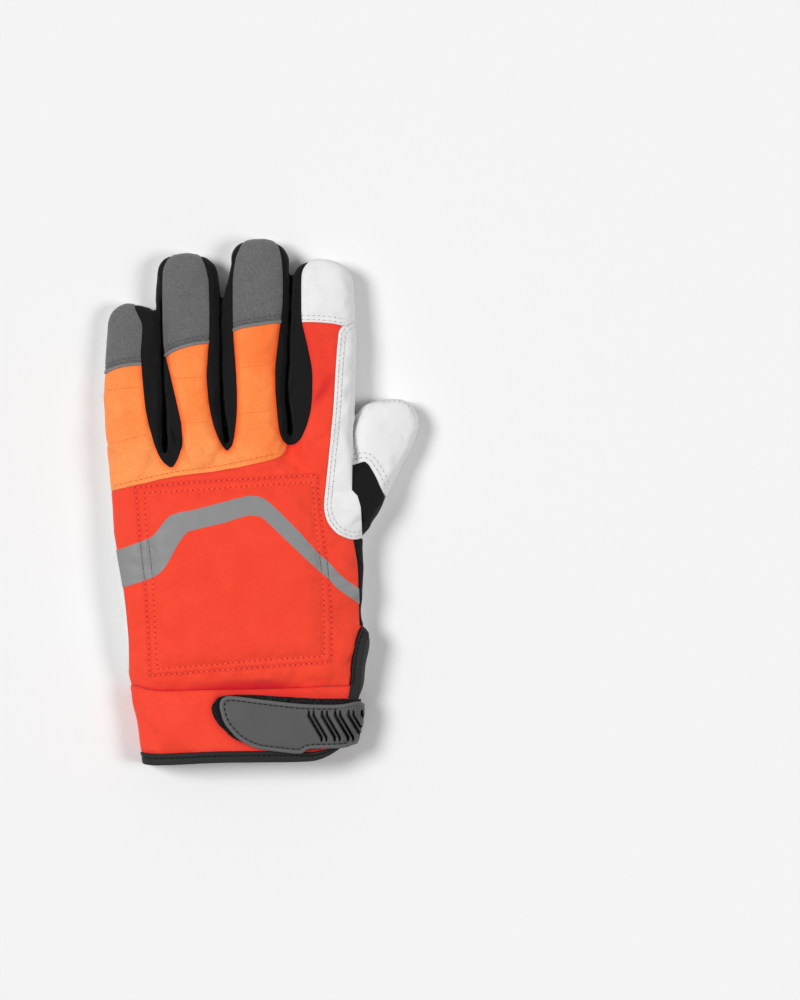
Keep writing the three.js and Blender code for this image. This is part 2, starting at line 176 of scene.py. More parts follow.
# Height of the seam between palm and back along the glove, and where the leather wraps higher outside
PALM_SEAM = [
    (-REACH, 11.4), (-64, 11.4), (-57, 8.6), (-20, 8), (10, 7.6), (40, 6), (80, 4.2), (REACH, 4.2),
]
OUTER_SEAM = [(-REACH, 11.4), (-20, 11.4), (0, 11), (12, 9.8), (40, 6.8), (80, 6), (REACH, 6)]
OUTER_SIDE = -58.0
OUTER_TOP = [
    (-REACH, 15.5), (-92, 16.5), (-80, 18), (-60, 19.4), (-44, 19.6), (-30, 17.8), (-19, 15.2),
    (-11, 12.4), (-5, 11.1), (12, 9.6), (40, 6.6), (REACH, 5.8),
]
OUTER_EDGE = [
    (-80, 13), (-75, 10.5), (-73.2, 7), (-72.5, 0), (-73, -6), (-72.6, -12), (-71.2, -20), (-69.7, -28.4),
    (-67.3, -41.8), (-66, -51.7), (-65.2, -60.2), (-64.6, -68), (-64.5, -77.9), (-64.8, -84.3),
    (-65.2, -88), (-66.4, -90.4), (-69, -92), (-80, -93),
]

# Outlines of the pieces, seen from above
WEB_LITTLE_RING = [
    (126, -61.6, -40), (121.5, -61.6, -43.3), (119.3, -61.6, -45.5), (115.5, -61.6, -47.3),
    (111, -61.6, -47.9), (97.3, -61.5, -48), (92.3, -59.8, -48), (87.4, -57.7, -48), (80, -57.9, -47.9),
    (72.5, -58.3, -46.8), (60, -57.4, -43.6), (46.6, -56, -40.4), (38, -54.2, -38.6), (27.9, -51.3, -38.2),
    (21, -48.1, -40.5), (17.5, -44.1, -42.6),
]
WEB_RING_MIDDLE = [
    (132, -32, -3), (129.8, -32, -5.3), (127.5, -32, -8.6), (123.5, -31.5, -10.6), (120.9, -29, -11.7),
    (116.5, -26.8, -12.6), (111.6, -25.6, -13.2), (106.1, -24.9, -13.4), (84.1, -24.6, -13.2),
    (72, -25.3, -12.4), (60.9, -25.8, -11.6), (48, -24.6, -11.3), (37.3, -22.3, -12), (31, -19.6, -13),
    (27.4, -17.6, -14.2), (25.9, -16.5, -15.5),
]
WEB_MIDDLE_INDEX = [
    (133.5, 4, 25.6), (128.9, 6.7, 25.6), (125.9, 9.2, 25.6), (120.9, 10.6, 25.4), (118.6, 10.9, 24.4),
    (116.5, 11.1, 22.4), (113.2, 11.3, 20.8), (108, 11.5, 20.4), (98, 11.3, 20.4), (90.1, 10.7, 20.6),
    (85.2, 10.1, 21.3), (73.6, 8.6, 24.1), (64.9, 7.8, 25.6), (53.3, 8, 25.7), (45.2, 8.7, 24.9),
    (38.8, 9.3, 23.3), (34.7, 10, 21.7), (31.8, 10.9, 20.2), (29.8, 12.2, 18.5), (28.7, 13.6, 16.8),
    (28.4, 14.6, 15.4),
]
WEBS = {
    "web_little_ring": WEB_LITTLE_RING,
    "web_ring_middle": WEB_RING_MIDDLE,
    "web_middle_index": WEB_MIDDLE_INDEX,
}
LITTLE_CAP = [
    (-84, 58.8), (-80, 61), (-76.9, 62.8), (-73.1, 64.9), (-67.5, 66.6), (-62.1, 67.3), (-57, 67.5),
    (-53, 67.6),
]
RING_CAP = [
    (-53, 66.9), (-47.1, 71.2), (-42.2, 74.2), (-36.7, 76.2), (-31.8, 77.4), (-24.9, 78.2), (-20, 78.4),
]
MIDDLE_CAP = [(-20, 80.7), (-13.4, 83.9), (-9.7, 85.3), (-5.9, 86.1), (0.2, 87), (5.9, 87.9), (13, 88.3)]
INDEX_CAP = [
    (13, 89.1), (20.8, 88.6), (27.9, 88.5), (36.2, 87.8), (40.4, 86.9), (42.8, 87.1), (46.4, 88.9), (52, 93),
    (60, 98),
]
GUARD_EDGE = [
    (44.5, 89.6), (41.4, 87), (39.2, 84.6), (38.7, 82.4), (38.2, 76.3), (37.5, 68.1), (36.9, 57.1), (36, 43),
    (34.7, 29.4), (33.2, 14.6), (31.9, 1.5), (31.8, -3.4), (33.4, -9.3), (37.4, -14.6), (41.6, -17),
    (46.2, -18.2), (50.4, -17.4),
]
THUMB_EDGE = [(49.5, 62), (47, 45), (45.95, 38), (45.65, 27), (45.6, 18.3)]
THUMB_HEM = [(45.6, 18.3), (50.6, 20), (53.1, 19), (57, 13.1), (60, 6.7), (63, 1.4), (70, -8)]
THUMB_TIP_ROW = [(61, 49.6), (64, 50), (68, 49.8), (71.6, 48.5), (74.2, 46), (75.6, 42.6)]
GUSSET_EDGE = [(50.4, -16.6), (49.7, -2.2), (48.2, 3.2), (45.4, 6.2), (45.3, 21)]
SIDE_GUSSET_EDGE = [(45.6, -14), (48.4, -30.3), (48.9, -42.7), (49.4, -60.5)]
KNUCKLE_SEAM = [(-90, 2.6), (-72.7, 5.7), (-42.6, 12.6), (-18.5, 16), (9.2, 22), (14, 30)]
CUFF_SEAM = [
    (-80, -89), (-63.6, -90), (-50, -92.5), (-25.4, -92), (3.7, -91.5), (44.7, -90), (70, -89.4),
]
HEM = [
    (-75, -126.9), (-64, -127.4), (-58.5, -128.4), (-53, -129.2), (-40, -128.8), (-28, -128.1), (-16, -127.7),
    (-4, -127.6), (8, -127.5), (17, -127.4), (24, -127.2), (28, -126.6), (31.5, -125.5), (35, -123.8),
    (38.6, -121.5), (42, -118.8), (46, -114.6), (53, -105.6),
]
HEM_TAPE = 5.6
HEM_ROW = 3.3
LIP_EDGE = [
    (50.2, -60.9), (48.6, -65), (47.1, -70.3), (45.5, -80.2), (44.7, -90), (43.4, -98), (41, -112),
]
SLIT_TOP = -61.0
SLIT_LOW = 10.2
SLIT_HIGH = 12.6
SLIT = [(22, -REACH), (80, -REACH), (80, SLIT_TOP), (22, SLIT_TOP)]
LIP_LOW = 5.4
STRIPE_UPPER = [
    (-80, -27), (-69.9, -23.4), (-59.2, -19.5), (-53.2, -17), (-50.2, -14.3), (-45.8, -8.6), (-41.8, -5.8),
    (-30.3, -3.2), (-8.8, 2.4), (-4.6, 3.1), (-1, 2.9), (2, 1.9), (5.8, -0.9), (13.2, -8), (19.9, -15),
    (28.9, -24.9), (33.6, -28.9), (40.6, -36.3), (48.6, -42.2), (56, -47.5),
]
STRIPE_LOWER = [
    (56, -55), (48.6, -49.6), (38.3, -42.2), (33.8, -37.3), (28.9, -33.3), (19.5, -24.7), (3.3, -9.1),
    (-1.2, -6.7), (-6.6, -6.7), (-17.5, -10.1), (-23.9, -11.6), (-32.8, -13.8), (-35.7, -15),
    (-39.7, -20.5), (-44.6, -29.4), (-47.6, -33.6), (-53.6, -37.3), (-67.1, -41.7), (-80, -45.6),
]
STRAP_BACKING = [
    (62, -96.7), (43.2, -96.3), (26.9, -96), (9.7, -95), (-7.1, -94.1), (-18.6, -95),
    (-22.3, -98), (-23.5, -101.5), (-21.6, -106.6), (-17.5, -111.3), (-8, -117.6), (20, -121.5),
    (42, -119.5), (62, -117.5),
]
STRAP_COVER = [
    (62, -100.4), (51.6, -99.2), (49.6, -97.8), (46.4, -97.9), (38.3, -99.2), (21, -98.8), (4.2, -97),
    (-11.6, -95), (-15.8, -94.9), (-18.6, -96.6), (-19.4, -99.6), (-18.7, -103.2), (-17.3, -107.5),
    (-14, -112), (-9.2, -116.6), (-1, -120.5), (9.9, -122.1), (20.1, -123), (24.4, -120.8), (40.4, -120.4),
    (46.4, -118.9), (62, -115.6),
]
STRAP_TURN = 10.5
STRAP_UNDER = [(22, -101.4), (80, -101.4), (80, -117), (22, -117)]
BACKING = {"lift": 0.9, "thick": 1.2}
COVER = {"lift": 2.4, "thick": 2.0}
GROOVE_FIRST = 24.2
GROOVE_PITCH = 6.48
GROOVE_PAIR = 2.4
GROOVE_WIDTH = (1.5, 1.2)
GROOVE_DEPTH = 1.7
GROOVES = [(GROOVE_FIRST + GROOVE_PITCH * i + GROOVE_PAIR * side, side) for i in range(5) for side in (0, 1)]

# Rows of stitches and the dents along them: distances from the edge that they follow
KNUCKLE_ROW = 2.1
GUARD_ROWS = (1.5, 3.4)
INDEX_CAP_ROWS = (1.2, 3.2)
THUMB_ROWS = (2.1, 4.5)
THUMB_DENTS = (1.6, 3.6)
DENT_DEPTH = 0.2
CAP_HEM = 1.9
CAP_ROW = 3.6
COVER_ROW = 2.1
LIP_ROW = 1.3

# Lines that folds and seams press into the surface: points, depth, half-width
CREASES = {
    "little_ring": [(-48.4, 99), (-48, 90), (-47.8, 72), (-47.4, 50), (-46.8, 36), (-46.2, 25.4)],
    "ring_middle": [(-18.9, 107), (-19.4, 98), (-19.6, 72), (-18.8, 50), (-17.4, 38), (-16.3, 31)],
    "middle_index": [(15.4, 116), (15.2, 108), (14.6, 80), (13.4, 60), (13.4, 48), (14.6, 40), (15.1, 34.5)],
}

# The pad's two rows of stitches, side by side
PAD_OUTER = [
    [
        (-60.9, 7.3), (-59.5, -8.1), (-58.4, -20.5), (-56.6, -35.8), (-55.6, -48.6), (-54.6, -65),
        (-53.8, -85.1),
    ],
    [(-53.8, -85.1), (-29.8, -83.1), (2.8, -80.7), (32.4, -78.4), (34.6, -77.4)],
    [(35.4, -75.4), (35.3, -55), (34.3, -41.2), (33.2, -28.9), (31.6, -18.3), (30.4, -8.6), (28.7, 6.2)],
    [(28.6, 12), (27.4, 13.3), (-5.1, 11.6), (-28.3, 10.1), (-60.9, 7.3)],
]
PAD_INNER = [
    [(-56.3, 4.7), (-55.8, -8.1), (-54.6, -17.5), (-52.6, -35.8), (-51, -65.9), (-50.2, -81.7)],
    [(-50.2, -81.7), (-29.8, -80.2), (2.8, -77.2), (30, -75.7)],
    [(31.8, -74.4), (31.7, -55), (31.1, -39.7), (29.1, -22.9), (27.4, -8.6), (26.2, 8.2)],
    [(25, 10.1), (2.8, 8.6), (-29.8, 6.2), (-56.3, 4.7)],
]
INDEX_FOLD = [(36.4, 64), (34.4, 60), (30.8, 54), (27.6, 49.4), (24.6, 45.4)]
ORANGE_FOLD = [(-40.6, 32.5), (-38.4, 25), (-33.4, 19)]

# How deep the back is tucked in above the cuff, across the hand; the same depths set how strong the shade
# painted there is
TUCK_PLACES = (-62, -45, -18, 8, 24, 46)
TUCK_DEPTHS = (0.6, 1.5, 2.4, 2.6, 0.9, 0.4)

# Soft folds of the whole glove: points, depth and half-width
FOLDS = [
    ([(36.6, 65), (35, 61.5), (31.6, 55.2), (28, 50), (24.6, 45)], 0.9, 2.6),
    ([(-39.6, 33), (-38.2, 26), (-34.4, 18)], 2.0, 1.5),
    ([(-24, 24), (-14, 19), (-2, 20)], 0.6, 3.0),
    ([(-70, 40), (-60, 33), (-54, 22)], 0.5, 3.4),
    ([(34, 30), (24, 24), (14, 14)], 0.5, 3.0),
    ([(-40, -60), (-20, -50), (8, -52)], 0.35, 5.0),
    ([(-8, 76), (-2, 70), (6, 66)], 0.5, 2.4),
]
SIDE_CREASE = [(-43.9, 37), (-42.4, 32), (-41.2, 27.5)]
QUILTING = [
    [(-75.2, 55), (-57.9, 57)],
    [(-75.2, 28.4), (-54, 33.8)],
    [(-42.1, 60.9), (-26.3, 61.4)],
    [(-39.3, 38.6), (-24.9, 39.7)],
    [(-10.1, 65.9), (7.7, 68.3)],
    [(-9.6, 43.2), (8.7, 45.6)],
]


# Work on objects and selections


def deselect():
    bpy.ops.object.select_all(action="DESELECT")


def only(obj):
    deselect()
    obj.hide_viewport = False
    obj.select_set(True)
    bpy.context.view_layer.objects.active = obj
    return obj


def remove(*objs):
    for obj in objs:
        bpy.data.meshes.remove(obj.data)


def copy_of(obj, name):
    twin = obj.copy()
    twin.data = obj.data.copy()
    twin.name = name
    twin.data.name = name
    bpy.context.scene.collection.objects.link(twin)
    return twin


def coords(obj):
    flat = np.empty(len(obj.data.vertices) * 3, np.float32)
    obj.data.vertices.foreach_get("co", flat)
    return flat.reshape(-1, 3).astype(float) / MM


def set_coords(obj, places):
    obj.data.vertices.foreach_set("co", (places * MM).astype(np.float32).ravel())
    obj.data.update()


def normals(obj):
    flat = np.empty(len(obj.data.vertices) * 3, np.float32)
    obj.data.vertex_normals.foreach_get("vector", flat)
    return flat.reshape(-1, 3).astype(float)


def apply_modifier(obj, kind, **settings):
    only(obj)
    modifier = obj.modifiers.new(kind.lower(), kind)
    for key, value in settings.items():
        setattr(modifier, key, value)
    bpy.ops.object.modifier_apply(modifier=modifier.name)
    return obj


def select_none(obj, kind):
    """Leaves no vertex, edge or face selected, and the kind named as the one to choose from."""
    only(obj)
    bpy.ops.object.mode_set(mode="EDIT")
    bpy.ops.mesh.select_mode(type=kind)
    bpy.ops.mesh.select_all(action="DESELECT")
    bpy.ops.object.mode_set(mode="OBJECT")


def face_out(obj):
    """Makes all faces of a closed mesh face outwards."""
    only(obj)
    bpy.ops.object.mode_set(mode="EDIT")
    bpy.ops.mesh.select_all(action="SELECT")
    bpy.ops.mesh.normals_make_consistent(inside=False)
    bpy.ops.object.mode_set(mode="OBJECT")


def add_slots(obj):
    """Material slots for the skin and for the faces that a cut leaves."""
    for name in ("skin", "cut"):
        obj.data.materials.append(bpy.data.materials.get(name) or bpy.data.materials.new(name))


def edge_ends(obj):
    pairs = np.empty(len(obj.data.edges) * 2, np.int32)
    obj.data.edges.foreach_get("vertices", pairs)
    return pairs.reshape(-1, 2)


def tree_of(points):
    tree = KDTree(len(points))
    for i, point in enumerate(points):
        tree.insert(point, i)
    tree.balance()
    return tree


# Lines and distances


def line_through(pairs):
    """A smooth line through points, as many short straight pieces."""
    points = np.array(pairs, float)
    ends = np.vstack([points[:1], points, points[-1:]])
    pieces = []
    for i in range(len(points) - 1):
        p0, p1, p2, p3 = ends[i : i + 4]
        count = max(1, int(np.linalg.norm(p2 - p1) / LINE_STEP))
        t = np.linspace(0, 1, count, endpoint=False)[:, None]
        bent = (
            2 * p1
            + (p2 - p0) * t
            + (2 * p0 - 5 * p1 + 4 * p2 - p3) * t**2
            + (3 * p1 - p0 - 3 * p2 + p3) * t**3
        )
        pieces.append(bent / 2)
    return np.vstack([*pieces, points[-1:]])


def distance_to(line, places):
    """Distance from places to a line seen from above, and how far along the line the nearest point lies."""
    spot = places[:, :2]
    best = np.full(len(spot), 1e9)
    along = np.zeros(len(spot))
    run = 0.0
    for start, end in zip(line[:-1], line[1:]):
        leg = end - start
        length = np.linalg.norm(leg)
        share = np.clip((spot - start) @ leg / length**2, 0, 1)
        gap = np.linalg.norm(spot - start - share[:, None] * leg, axis=1)
        nearer = gap < best
        best[nearer] = gap[nearer]
        along[nearer] = (run + share * length)[nearer]
        run += length
    return best, along / run


def inside(outline, places):
    """True for places inside a closed outline seen from above."""
    x, y = places[:, 0], places[:, 1]
    odd = np.zeros(len(places), bool)
    for (x0, y0), (x1, y1) in zip(outline, np.roll(outline, -1, axis=0)):
        crosses = (y0 > y) != (y1 > y)
        with np.errstate(divide="ignore", invalid="ignore"):
            odd ^= crosses & (x < (x1 - x0) * (y - y0) / (y1 - y0) + x0)
    return odd


def bell(distance, width):
    return np.exp(-((distance / width) ** 2))


def ease(low, high, value):
    t = np.clip((value - low) / (high - low), 0, 1)
    return t * t * (3 - 2 * t)


def ripple(places, wavelength, seed):
    """A soft random field from -1 to 1."""
    dice = np.random.default_rng(seed)
    total = np.zeros(len(places))
    for _ in range(RIPPLE_WAVES):
        direction = dice.normal(size=3)
        direction /= np.linalg.norm(direction)
        pitch = wavelength * dice.uniform(0.7, 1.5)
        total += np.sin(places @ direction * (2 * math.pi / pitch) + dice.uniform(0, 2 * math.pi))
    return total / math.sqrt(RIPPLE_WAVES * 2)


def grow(outline, distance):
    """An outline moved outwards on all sides."""
    before = np.roll(outline, 1, axis=0)
    after = np.roll(outline, -1, axis=0)
    arriving = outline - before
    leaving = after - outline
    arriving /= np.linalg.norm(arriving, axis=1)[:, None]
    leaving /= np.linalg.norm(leaving, axis=1)[:, None]
    area = np.sum(outline[:, 0] * after[:, 1] - after[:, 0] * outline[:, 1])
    summed = arriving + leaving
    outwards = np.stack([summed[:, 1], -summed[:, 0]], axis=1)
    outwards /= np.linalg.norm(outwards, axis=1)[:, None]
    square = outwards[:, 0] * arriving[:, 1] - outwards[:, 1] * arriving[:, 0]
    reach = math.copysign(distance, area) / np.maximum(0.5, np.abs(square))
    return outline + outwards * reach[:, None]


# Base shapes of the hand


def between_rows(rows, heights):
    """Columns of a table of rows at other heights, on smooth curves."""
    table = np.array(rows, float)
    keys, values = table[:, 0], table[:, 1:]
    slopes = np.gradient(values, keys, axis=0)
    i = np.clip(np.searchsorted(keys, heights) - 1, 0, len(keys) - 2)
    span = keys[i + 1] - keys[i]
    t = ((heights - keys[i]) / span)[:, None]
    span = span[:, None]
    return (
        (2 * t**3 - 3 * t**2 + 1) * values[i]
        + (t**3 - 2 * t**2 + t) * span * slopes[i]
        + (3 * t**2 - 2 * t**3) * values[i + 1]
        + (t**3 - t**2) * span * slopes[i + 1]
    )


def pad_row(sides):
    lines = [line_through(side) for side in sides]
    return np.vstack([*lines, lines[0][:1]])


def tube_rows(rows, tip, grown, tip_round):
    """Rows for every ring of a tube: height, side edges, top, bottom and lift."""
    table = np.array(rows, float)
    if tip is None:
        heights = np.linspace(table[0, 0], table[-1, 0], TUBE_RINGS)
        columns = between_rows(rows, heights)
        bottom = np.zeros(TUBE_RINGS)
        lift = columns[:, 3]
    else:
        straight = TUBE_RINGS - 20
        heights = np.linspace(table[0, 0], table[-1, 0], straight)
        columns = between_rows(rows, heights)
        part = np.sin(np.linspace(0, math.pi / 2, 21)[1:])
        to_left, to_right = (np.maximum(TIP_SMALLEST, (1 - part**n) ** (1 / n)) for n in tip_round)
        _, left, right, top = table[-1]
        kept = TIP_HEIGHT_KEPT + (1 - TIP_HEIGHT_KEPT) * (to_left + to_right) / 2
        waist = WAIST * top
        left_edge = tip[0] - (tip[0] - left) * to_left
        right_edge = tip[0] + (right - tip[0]) * to_right
        rounded = np.stack([left_edge, right_edge, waist + (top - waist) * kept], axis=1)
        heights = np.concatenate([heights, table[-1, 0] * (1 - part) + tip[1] * part])
        columns = np.vstack([columns, rounded])
        bottom = np.concatenate([np.zeros(straight), waist * (1 - kept)])
        lift = np.zeros(TUBE_RINGS)
    return heights, columns[:, 0] - grown, columns[:, 1] + grown, columns[:, 2] + grown, bottom - grown, lift


def tube(name, rows, tip=None, grown=0.0, tip_round=(2.3, 2.3), back=BACK_ROUNDNESS):
    """A flattened tube through rows of widths: rounder on the back, nearly flat on the palm."""
    deselect()
    bpy.ops.mesh.primitive_cylinder_add(vertices=TUBE_SIDES, radius=1, depth=1)
    obj = bpy.context.object
    obj.name = name
    select_none(obj, "EDGE")
    ends = obj.data.vertices
    for edge in obj.data.edges:
        a, b = edge.vertices
        edge.select = abs(ends[a].co.z - ends[b].co.z) > 0.5
    bpy.ops.object.mode_set(mode="EDIT")
    bpy.ops.mesh.subdivide(number_cuts=TUBE_RINGS - 2)
    bpy.ops.object.mode_set(mode="OBJECT")
    unit = coords(obj) * MM
    ring = np.rint((unit[:, 2] + 0.5) * (TUBE_RINGS - 1)).astype(int)
    y, left, right, top, bottom, lift = (column[ring] for column in tube_rows(rows, tip, grown, tip_round))
    side = unit[:, 0] / np.hypot(unit[:, 0], unit[:, 1])
    rise = unit[:, 1] / np.hypot(unit[:, 0], unit[:, 1])
    power = 2 / np.where(rise > 0, back, PALM_ROUNDNESS)
    x = (left + right) / 2 + (right - left) / 2 * np.sign(side) * np.abs(side) ** power
    waist = bottom + WAIST * (top - bottom)
    below = waist - bottom - lift * (x - left) / (right - left)
    height = np.where(rise > 0, top - waist, below)
    z = waist + height * np.sign(rise) * np.abs(rise) ** power
    set_coords(obj, np.stack([x, y, z], axis=1))
    face_out(obj)
    return obj


def thumb_tube():
    obj = tube("thumb", THUMB["rows"], THUMB["tip"], 0, THUMB["round"])
    places = coords(obj)
    cosine, sine = math.cos(THUMB_TURN), math.sin(THUMB_TURN)
    x = places[:, 0] * cosine - places[:, 1] * sine + THUMB_ROOT[0]
    y = places[:, 0] * sine + places[:, 1] * cosine + THUMB_ROOT[1]
    set_coords(obj, np.stack([x, y, places[:, 2]], axis=1))
    return obj


def press_creases(obj):
    """Presses the deep creases between the fingers in from above, and shallower ones from below."""
    places = coords(obj)
    before = places[:, 2].copy()
    deepest = np.interp(places[:, 1], *np.array(PALM_SEAM).T) + 1.0
    for line in CREASES.values():
        gap, along = distance_to(line_through(line), places)
        above = ease(8, 13, places[:, 2])
        foot = ease(0.6, 0.96, along)
        places[:, 2] -= above * (6.5 * foot * bell(gap, 1.5) + 2.4 * bell(gap, 0.75))
        lip = bell(gap - 3.6, 1.7)
        places[:, 2] += above * 0.7 * lip * ease(0.3, 0.7, along)
        below = 1 - ease(3, 7, places[:, 2])
        places[:, 2] += below * 3.2 * bell(gap, 1.6)
    gap, along = distance_to(line_through(SIDE_CREASE), places)
    places[:, 2] -= 1.8 * ease(8, 13, places[:, 2]) * bell(gap, 0.9) * np.sin(along * math.pi)
    places[:, 2] = np.maximum(places[:, 2], np.minimum(before, deepest))
    places[:, 2] = np.maximum(places[:, 2], 0)
    set_coords(obj, places)


def soften(obj):
    """Folds, dents and gentle unevenness of the whole glove."""
    places = coords(obj)
    out = normals(obj)
    back = ease(10, 16, places[:, 2]) * ease(0.1, 0.5, out[:, 2])
    move = np.zeros(len(places))
    gap, _ = distance_to(line_through(CUFF_SEAM), places)
    move -= back * 0.7 * bell(gap, 4)
    for line, depth, width in FOLDS:
        gap, along = distance_to(line_through(line), places)
        move -= back * bell(gap, width) * depth * np.sin(np.clip(along, 0, 1) * math.pi) ** 0.6
    move += back * 0.22 * ripple(places, 26, 3)
    move += back * 0.08 * ripple(places, 9, 5)
    side = ease(1.5, 5, places[:, 2]) * (1 - back)
    move += side * 0.16 * ripple(places, 12, 7)
    places += out * move[:, None]
    under = 1 - ease(0.5, 3.5, places[:, 2])
    wrinkles = np.maximum(0, ripple(places * (1, 1, 0), 13, 11)) ** 2
    places[:, 2] += under * (0.5 * wrinkles + 0.15)
    places[:, 2] -= places[:, 2].min()
    set_coords(obj, places)


def sewn_lines():
    """Where the shell is held down by seams and rows of stitches."""
    lines = [pad_row(PAD_OUTER), pad_row(PAD_INNER), line_through(KNUCKLE_SEAM), line_through(CUFF_SEAM)]
    lines += [line_through(hem) for hem in (LITTLE_CAP, RING_CAP, MIDDLE_CAP, INDEX_CAP, GUARD_EDGE)]
    lines += [np.array(row, float) for row in QUILTING]
    lines += [web_outline(rows) for rows in WEBS.values()]
    return lines


def swell(obj):
    """Fills the glove with a little air in a cloth simulation, held at its seams, and moves the skin."""
    cloth = copy_of(obj, "swelling")
    apply_modifier(cloth, "REMESH", mode="VOXEL", voxel_size=SWELL_VOXEL * MM)
    start = coords(cloth)
    held = (start[:, 2] < HELD_BELOW) | (normals(cloth)[:, 2] < HELD_FACING)
    for line in sewn_lines():
        held |= distance_to(line, start)[0] < SWELL_VOXEL * HELD_BESIDE_SEAM
    group = cloth.vertex_groups.new(name="sewn")
    group.add(np.flatnonzero(held).tolist(), 1.0, "REPLACE")
    modifier = cloth.modifiers.new("air", "CLOTH")
    settings = modifier.settings
    settings.quality = SWELL_QUALITY
    settings.vertex_group_mass = "sewn"
    settings.use_pressure = True
    settings.uniform_pressure_force = SWELL_PRESSURE
    settings.shrink_min = -SWELL_GROWTH
    settings.effector_weights.gravity = 0
    scene = bpy.context.scene
    for step in range(1, SWELL_STEPS + 1):
        scene.frame_set(step)
    only(cloth)
    bpy.ops.object.modifier_apply(modifier="air")
    scene.frame_set(1)
    moved = coords(cloth) - start
    length = np.linalg.norm(moved, axis=1)
    share = SWELL_MOST * np.tanh(length / SWELL_MOST) / np.maximum(length, 1e-6)
    moved *= share[:, None]
    tree = tree_of(start)
    places = coords(obj)
    shift = np.zeros_like(places)
    for i, place in enumerate(places):
        near = tree.find_n(place, SWELL_NEIGHBOURS)
        pull = [math.exp(-((gap / SWELL_VOXEL) ** 2)) + 1e-9 for _, _, gap in near]
        shift[i] = sum(moved[j] * p for (_, j, _), p in zip(near, pull)) / sum(pull)
    # The outer side of the palm stays still, so that the edge of its leather is smooth
    shift *= np.maximum(ease(*STILL_SIDE, places[:, 0]), ease(*STILL_UP_TO, places[:, 1]))[:, None]
    set_coords(obj, places + shift)
    remove(cloth)


def blend_thumb_root(hand):
    """Smooths the step where the thumb grows out of the hand."""
    places = coords(hand)
    x, y, z = places.T
    share = bell(x - 41, 5.5) * bell(y - 3, 11) * ease(12, 17, z)
    group = hand.vertex_groups.new(name="root")
    for tenth in range(1, 11):
        chosen = np.flatnonzero(np.rint(share * 10) == tenth)
        group.add(chosen.tolist(), tenth / 10, "REPLACE")
    apply_modifier(hand, "SMOOTH", factor=0.5, iterations=60, vertex_group="root")
    hand.vertex_groups.clear()


def make_hand():
    """The whole hand as one closed skin."""
    parts = [tube("body", BODY), thumb_tube()]
    for finger in (LITTLE, RING, MIDDLE, INDEX):
        back = LEATHER_ROUNDNESS if finger is INDEX else BACK_ROUNDNESS
        parts.append(tube("finger", finger["rows"], finger["tip"], 0, finger["round"], back))
    deselect()
    for part in parts:
        part.select_set(True)
    bpy.context.view_layer.objects.active = parts[0]
    bpy.ops.object.join()
    hand = bpy.context.object
    hand.name = "hand"
    apply_modifier(hand, "REMESH", mode="VOXEL", voxel_size=VOXEL * MM)
    apply_modifier(hand, "SMOOTH", factor=0.5, iterations=5)
    blend_thumb_root(hand)
    press_creases(hand)
    apply_modifier(hand, "SMOOTH", factor=0.4, iterations=2)
    swell(hand)
    soften(hand)
    add_slots(hand)
    return hand


# Cutting the skin into pieces


def prism(outline, low=-REACH, high=REACH, across=False):
    """A straight prism over an outline, upright, or lying across the hand for an outline of y and z."""
    deselect()
    bpy.ops.mesh.primitive_circle_add(vertices=len(outline), radius=1, fill_type="NGON")
    obj = bpy.context.object
    level = np.full(len(outline), low)
    if across:
        set_coords(obj, np.stack([level, outline[:, 0], outline[:, 1]], axis=1))
    else:
        set_coords(obj, np.stack([outline[:, 0], outline[:, 1], level], axis=1))
    travel = (high - low) * MM
    shift = (travel, 0, 0) if across else (0, 0, travel)
    bpy.ops.object.mode_set(mode="EDIT")
    bpy.ops.mesh.select_all(action="SELECT")
    bpy.ops.mesh.extrude_region_move(TRANSFORM_OT_translate={"value": shift})
    bpy.ops.mesh.select_all(action="SELECT")
    bpy.ops.mesh.normals_make_consistent(inside=False)
    bpy.ops.object.mode_set(mode="OBJECT")
    add_slots(obj)
    obj.data.polygons.foreach_set("material_index", np.ones(len(obj.data.polygons), np.int32))
    return obj


def combine(obj, tool, operation):
    return apply_modifier(
        obj, "BOOLEAN", operation=operation, object=tool, solver="MANIFOLD", material_mode="INDEX"
    )


def keep(obj, outline, low=-REACH, high=REACH):
    """Keeps what lies over an outline."""
    tool = prism(outline, low, high)
    combine(obj, tool, "INTERSECT")
    remove(tool)
    return obj


def cut_away(obj, outline, low=-REACH, high=REACH):
    """Takes away what lies over an outline."""
    tool = prism(outline, low, high)
    combine(obj, tool, "DIFFERENCE")
    remove(tool)


def cut_piece(store, name, outline):
    """Takes an outline out of a store of skin, and leaves the seam's gap round it."""
    piece = keep(copy_of(store, name), outline)
    cut_away(store, grow(outline, SEAM_GAP))
    return piece


def beyond(line, *corners):
    """The zone on the side of a line that the corners lie on."""
    return np.vstack([line, np.array(corners, float)])


def hem_row(rise):
    """A line that follows the hem; the tape gets narrower where the hem turns up to the slit."""
    line = line_through(HEM)
    width = 1 - 0.2 * ease(16, 26, line[:, 0]) - 0.3 * ease(28, 38, line[:, 0])
    return np.stack([line[:, 0], line[:, 1] + rise * width], axis=1)


def above_hem(rise, gap=0.0):
    line = hem_row(rise) + np.array([0, gap])
    return beyond(line, (REACH, line[-1, 1]), (REACH, REACH), (-REACH, REACH), (-REACH, line[0, 1]))


